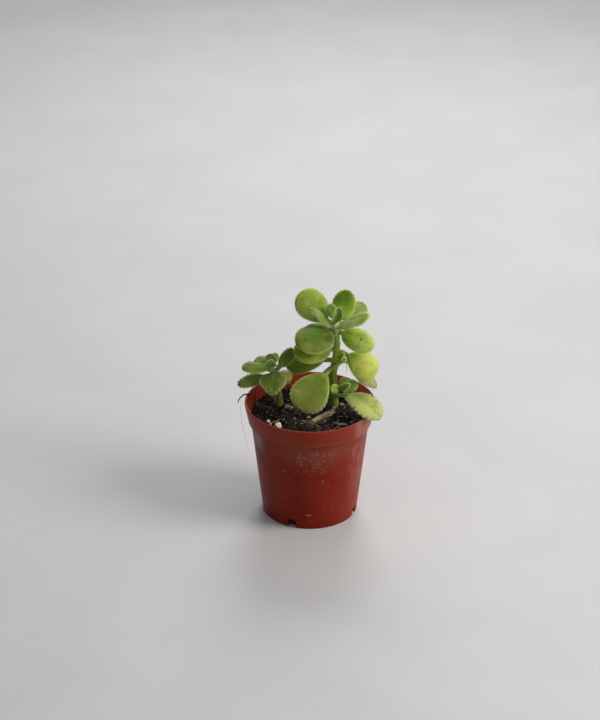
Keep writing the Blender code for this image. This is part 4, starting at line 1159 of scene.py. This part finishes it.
# Young shoots: a short core from inside the stem, and young leaves as (foot, tip, width,
# face, droop, fullness)
shoots = dict(
    tip_bud=dict(core=((11.0, 7.0, 90.8), (11.0, 7.0, 92.2), (10.8, 6.8, 94.4)), radius=1.0,
                 tones=("#668433", "#69893b", "#bbc587"), leaves=(
        ((10.6, 7.2, 93.2), (8.8, 9.0, 100.0), 5.0, (0.3, -0.9, 0.3), 0.6, 0.20),
        ((10.8, 5.2, 91.6), (13.0, 4.6, 100.6), 4.3, (0.25, -0.9, 0.4), -1.1, 0.22))),
    left_bud=dict(core=((-17.4, 6.1, 68.0), (-17.7, 5.9, 69.2), (-18.0, 5.7, 71.2)), radius=0.95,
                  tones=("#7f9f45", "#8ba652", "#d7da9b"), leaves=(
        ((-17.9, 6.2, 70.0), (-17.8, 7.6, 75.7), 5.2, (0.0, -0.9, 0.4), 0.6, 0.0),
        ((-17.7, 6.4, 70.2), (-15.4, 10.6, 74.4), 3.6, (0.1, -0.5, 0.85), 0.4, 0.10),
        ((-18.0, 5.4, 69.9), (-18.2, 3.2, 74.8), 5.4, (0.0, -0.8, 0.6), -0.9, 0.0))),
    middle_side_shoot=dict(
        core=((11.6, 6.2, 72.0), (12.5, 4.75, 72.8), (13.8, 3.1, 74.0)), radius=0.6,
        tones=("#799a1f", "#90af2a", "#c0cf61"), leaves=(
            ((13.6, 3.3, 73.8), (15.7, 1.0, 79.0), 3.0, (-0.5, -0.6, 0.5), -0.5, 0.10),
            ((13.7, 3.2, 73.7), (16.6, 0.9, 75.2), 2.8, (0.0, -0.6, 0.8), 0.4, 0.10))),
    low_side_shoot=dict(
        core=((11.4, 6.4, 56.6), (12.5, 5.4, 57.6), (14.1, 4.1, 59.3)), radius=0.75,
        tones=("#8aa546", "#90af4c", "#cad386"), leaves=(
            ((13.9, 4.4, 58.8), (22.0, 5.4, 61.4), 5.8, (0.0, -0.9, 0.5), 0.8, 0.0),
            ((13.8, 4.1, 58.8), (18.5, 1.2, 63.4), 3.0, (0.1, -0.85, 0.5), -0.7, 0.0),
            ((13.4, 4.2, 58.4), (9.3, 0.2, 61.9), 4.2, (0.0, -0.9, 0.45), 0.4, 0.10),
            ((14.2, 4.6, 58.8), (16.0, 8.0, 63.2), 3.2, (0.0, -0.9, 0.4), 0.4, 0.10))))


def marginCurve(length, leaf, kind):
    # the half outline from the stalk to the tip: x along it, then x and y with the scallops,
    # and the share of the way round
    stalkLength = length * leaf["stalk"]
    angle = np.linspace(0, math.pi, 600)
    along = (1 - np.cos(angle)) / 2
    half = np.sin(angle) * (1 - leaf["fullness"] * np.cos(angle))
    half *= along ** leaf.get("taper", 0.12) * (1 - leaf.get("point", 0) * along ** 2)
    x = stalkLength + (length - stalkLength) * along
    stalkHalf = kind["stalkRadius"] * leaf.get("stout", kind["stout"])
    y = half / half.max() * leaf["width"] / 2 + stalkHalf * np.cos(angle / 2) ** 2
    y[-1] = 0
    arc = np.concatenate(([0], np.cumsum(np.hypot(np.diff(x), np.diff(y)))))
    places = np.linspace(0, arc[-1], max(24, round(arc[-1] / kind["step"])))
    smoothX = np.interp(places, arc, x)
    smoothY = np.interp(places, arc, y)
    slopeX = np.gradient(smoothX)
    slopeY = np.gradient(smoothY)
    size = np.hypot(slopeX, slopeY)
    total = stalkLength + arc[-1]
    start = total * kind["plain"]
    bold = leaf.get("bold", 1)
    teeth = max(2, round((total - start) / (kind["pitch"] * bold) - 0.5))
    phase = (places + stalkLength - start) / ((total - start) / (teeth + 0.5))
    lobe = np.abs(np.sin(math.pi * phase)) ** 0.7
    rise = kind["depth"] * bold * (lobe - 0.7) * np.clip((phase + 1.5) / 3.5, 0, 1)
    turn = np.interp(places, arc, np.linspace(0, 1, 600))
    return (smoothX, smoothX - slopeY / size * rise,
            np.maximum(smoothY + slopeX / size * rise, 0), turn)


def leafMesh(name, foot, tip, leaf, kind, seed, root=None):
    # rings of points round the blade, from its root inside the stem to its tip
    reach = Vector(tip) - Vector(foot)
    along = reach.normalized()
    normal = Vector(leaf["face"])
    normal = (normal - along * normal.dot(along)).normalized()
    basis = np.array(Matrix((along, normal.cross(along), normal)).transposed())
    length = reach.length - kind["inset"]
    shaped = dict(leaf, width=leaf["width"] - 1.4 * kind["inset"])
    centreX, marginX, marginY, turn = marginCurve(length, shaped, kind)
    stalkRows = 5
    stalkX = np.linspace(0, centreX[0], stalkRows + 1)[:-1]
    stalkY = np.full(stalkRows, kind["stalkRadius"] * leaf.get("stout", kind["stout"]))
    stalkTurn = np.linspace(-0.2, 0, stalkRows + 1)[:-1]
    centreX, marginX, marginY, turn = (
        np.concatenate((stalk, curve[:-1])) for stalk, curve in (
            (stalkX, centreX), (stalkX, marginX), (stalkY, marginY), (stalkTurn, turn)))
    levels = np.sin(np.linspace(0, math.pi / 2, kind["across"]))
    ring = np.concatenate((levels[::-1], -levels[1:], -levels[-2:0:-1], levels[:-1]))
    upper = np.concatenate((np.ones(2 * len(levels) - 1), -np.ones(2 * len(levels) - 3)))
    side = np.abs(ring)[None, :]
    x = centreX[:, None] + (marginX - centreX)[:, None] * side ** 4
    y = marginY[:, None] * ring[None, :]
    share = np.clip(x / length, 0, 1)
    spread = y / (shaped["width"] / 2)
    waveStart = random.Random(seed).uniform(0, 2 * math.pi)
    wave = np.sin(waveStart + 9 * share + np.where(y < 0, 2, 0)) * blade["wave"] * spread ** 2
    onBlade = np.clip((turn[:, None] + 0.02) / 0.3, 0, 1)
    fold = np.sqrt(spread ** 2 + 0.004) - 0.063  # both halves rise from the midrib
    middle = 4 * leaf["arch"] * share * (1 - share) - leaf["droop"] * spread ** 2 + wave
    middle = middle + leaf.get("fold", blade["fold"]) * fold * onBlade
    stalkHalf = kind["stalkRadius"] * np.sqrt(np.maximum(0, 1 - side ** 2))
    bladeHalf = kind["thickness"] / 2 * np.sqrt(np.maximum(0, 1 - side ** 3))
    nearTip = np.clip(marginY / kind["thickness"], 0, 1) ** 0.5  # the tip is as thin as the sides
    bladeHalf = bladeHalf * np.where(turn > 0.5, nearTip, 1)[:, None]
    half = stalkHalf + (bladeHalf - stalkHalf) * onBlade
    # a groove over the midrib, a ridge under it, side veins sunk between soft cushions
    rib = np.exp(-(y / veins["ribWidth"]) ** 2) * onBlade * (1 - share) ** 0.7
    phase = np.abs(((share - veins["slant"] * side) * veins["count"]) % 1 - 0.5)
    cushion = np.sin(np.clip(phase, 0, 0.5) * math.pi) ** 0.7 * (1 - side ** 6) * onBlade
    relief = kind["thickness"] / blade["thickness"]
    top = half - (veins["groove"] * rib - veins["cushion"] * cushion) * relief
    bottom = -half - veins["ridge"] * rib * relief
    z = np.where(side >= 1, middle, middle + np.where(upper[None, :] > 0, top, bottom))
    rows, width = x.shape
    points = np.stack((x, y, z), -1).reshape(-1, 3) @ basis.T + np.array(foot)
    if root is not None:  # two more rings that lead the stalk into the stem
        first = points[:width]
        centre = first.mean(0)
        inside = np.array(root)
        points = np.concatenate((first - centre + inside,
                                 (first - centre) * 1.05 + (inside + centre) / 2, points))
    total = len(points) // width
    tipPoint = basis @ np.array((length + 0.3 * kind["depth"], 0, 0)) + np.array(foot)
    last = (total - 1) * width
    faces = ringFaces(total, width)
    faces += [(last + i, last + (i + 1) % width, total * width) for i in range(width)]
    faces.append(tuple(reversed(range(width))))
    mesh = closedMesh(name, np.concatenate((points, tipPoint[None, :])), faces)
    pad = np.zeros((total - rows, width))
    bladeU = np.append(np.concatenate((pad, share)), 1)
    bladeV = np.append(np.tile(ring, total), 0)
    corner = np.zeros(len(mesh.loops), np.int32)
    mesh.loops.foreach_get("vertex_index", corner)
    mesh.uv_layers.new(name="blade").data.foreach_set(
        "uv", np.stack((bladeU[corner], bladeV[corner]), -1).ravel())
    setValues(mesh, "underside", np.append(np.tile(upper < 0, total), 0))
    fringe = hairs["edge"] * np.broadcast_to(side ** 18, share.shape)
    setValues(mesh, "cover", np.append(np.concatenate((pad, hairs["surface"] + fringe)), 1))
    return mesh


def stalkMesh(name, line, radii, paleBelow):  # round and downy
    mesh = tube(name, line, radii, 16)
    mesh.uv_layers.new(name="blade")
    setValues(mesh, "underside", [paleBelow and v.normal.z < -0.35 for v in mesh.vertices])
    setValues(mesh, "cover", [1.0] * len(mesh.vertices))
    return mesh


def makeHairs(piece, seed, share=1.0, length=1.0):
    dressed(grown(piece.name + "Hairs", piece.data, scatterTree, {
        "Shapes": hairSet, "Per square metre": hairs["perSquareMetre"] * share,
        "Smallest": hairs["shortest"] * mm * length, "Largest": hairs["longest"] * mm * length,
        "Tilt": hairs["tilt"], "Seed": seed, "Finish": hairFinish}))
    piece.data.attributes.remove(piece.data.attributes["cover"])


# a leaf or a shoot stands in for its node and gets its hairs
def makeFoliage(node, ending, meshes, skin, seed, share=1.0, length=1.0):
    piece = dressed(joined(node + ending, meshes, skin), node)
    makeHairs(piece, seed, share, length)


def makeLeaves():
    counts = {"main": 0, "left": 0}
    for number, (name, leaf) in enumerate(leaves.items()):
        stem = leaf["stem"]
        middle, share = stemMiddle(stem, leaf["height"])
        tip = Vector(leaf["tip"])
        outward = Vector((tip.x - middle.x, tip.y - middle.y, 0)).normalized()
        climb = abs((tip - middle).normalized().z)
        away = stemRadius(stem, share) + blade["standOff"] + blade["stalkRadius"] * climb
        foot = middle + outward * away
        root = middle + outward * blade["root"]
        skin = velvetLeaf(name + "Velvet", leaf["tones"], dict(leaf, length=(tip - foot).length))
        meshes = [leafMesh(name, foot, tip, leaf, blade, counts[stem], root)]
        counts[stem] += 1
        if "round" in leaf:
            line = strand(leaf["round"], roundStalk["steps"])
            radii = [roundStalk["radius"]] * len(line)
            radii[0] *= roundStalk["first"]
            radii[-1] *= roundStalk["last"]
            meshes.append(stalkMesh(name + "Stalk", line, radii, True))
        makeFoliage(name, "Blade", meshes, skin, 100 + number)


def makeShoots():
    for number, (name, shoot) in enumerate(shoots.items()):
        skin = velvetLeaf(name + "Velvet", shoot["tones"], {})
        line = strand(shoot["core"], shootCore["steps"])
        narrowing = shootCore["narrowing"] / len(line)
        radii = [shoot["radius"] * (1 - narrowing * k) for k in range(len(line))]
        radii[-1] *= shootCore["last"]
        meshes = [stalkMesh(name + "Core", line, radii, False)]
        for k, (foot, tip, width, face, droop, fullness) in enumerate(shoot["leaves"]):
            leaf = dict(width=width, face=face, droop=droop, fullness=fullness,
                        stalk=youngBlade["stalk"], arch=youngBlade["arch"])
            meshes.append(leafMesh(name, foot, tip, leaf, youngBlade, k))
        makeFoliage(name, "Young", meshes, skin, 300 + number, hairs["onShoots"],
                    hairs["shootLength"])


hairSet = shapeSet("hair", [hairShape("hair", hairs["thickness"], b) for b in hairs["bends"]])
hairFinish = leafHair()
stemSkin = downyStem()
for number, name in enumerate(("main", "left")):
    makeHairs(makeStem(name, stemSkin), 50 + number, hairs["onStems"])
print("stems are made")
makeLeaves()
makeShoots()
print("leaves and shoots are made")


# Loose bits: a dark fibre over the rim, three fine threads and a pale dry flake

bits = dict(
    rimFibre=dict(path=((-27.0, 7.2, 54.2), (-28.6, 6.4, 55.3), (-30.6, 5.2, 55.4),
                        (-32.4, 3.9, 54.2), (-33.3, 3.1, 52.4)), radius=0.32),
    sideThread=dict(path=((-31.9, 2.0, 53.6), (-31.6, -3, 49), (-30.2, -6, 42), (-28.2, -8, 34)),
                    radius=0.05),
    innerThread=dict(path=((-24.2, 6, 49.5), (-24.5, 6.2, 52.5), (-24.2, 6.5, 56.5)),
                     radius=0.08),
    hangingThread=dict(path=((16.6, 4, 73.8), (16.7, 4, 71.0), (16.6, 4, 67.5)), radius=0.09))
flake = dict(place=(14, -12.6, 49.9), length=6.5, width=2.2, turn=-0.35, thickness=0.25)


def makeBits():
    black = dryFibre("charredFibre", "#262220", "#0e0c0b")
    silk = dryFibre("silkThread", "#b9bcae", "#93968a")
    finishes = dict(rimFibre=black, sideThread=silk, innerThread=silk, hangingThread=black)
    for name, bit in bits.items():
        fibres(name, [strand(bit["path"], 24)], bit["radius"], finishes[name])
    bm = bmesh.new()
    bmesh.ops.create_grid(bm, x_segments=20, y_segments=8, size=0.5)
    for vert in bm.verts:
        x, y = vert.co.xy
        narrow = math.sqrt(max(0.02, 1 - (2 * x) ** 2))
        curl = 0.5 * (1 - (2 * y) ** 2) + 0.25 * math.sin(7 * x)
        spot = Vector((x * flake["length"], y * flake["width"] * narrow, curl))
        spot.rotate(Matrix.Rotation(flake["turn"], 3, "Z"))
        vert.co = (spot + Vector(flake["place"])) * mm
    mesh = meshFrom(bm, "dryFlake")
    mesh.shade_smooth()
    piece = addObject("dryFlake", mesh, dryFibre("dryLeafScrap", "#8f9a84", "#56604f"))
    piece.modifiers.new("thickness", "SOLIDIFY").thickness = flake["thickness"] * mm
    dressed(piece)


makeBits()
print("loose bits are made")


# Floor

def makeFloor():
    half = studio["floorSize"] / 2 * mm
    mesh = bpy.data.meshes.new("floor")
    mesh.from_pydata([(-half, -half, 0), (half, -half, 0), (half, half, 0), (-half, half, 0)],
                     [], [(0, 1, 2, 3)])
    addObject("floor", mesh, paleBoard())


makeFloor()
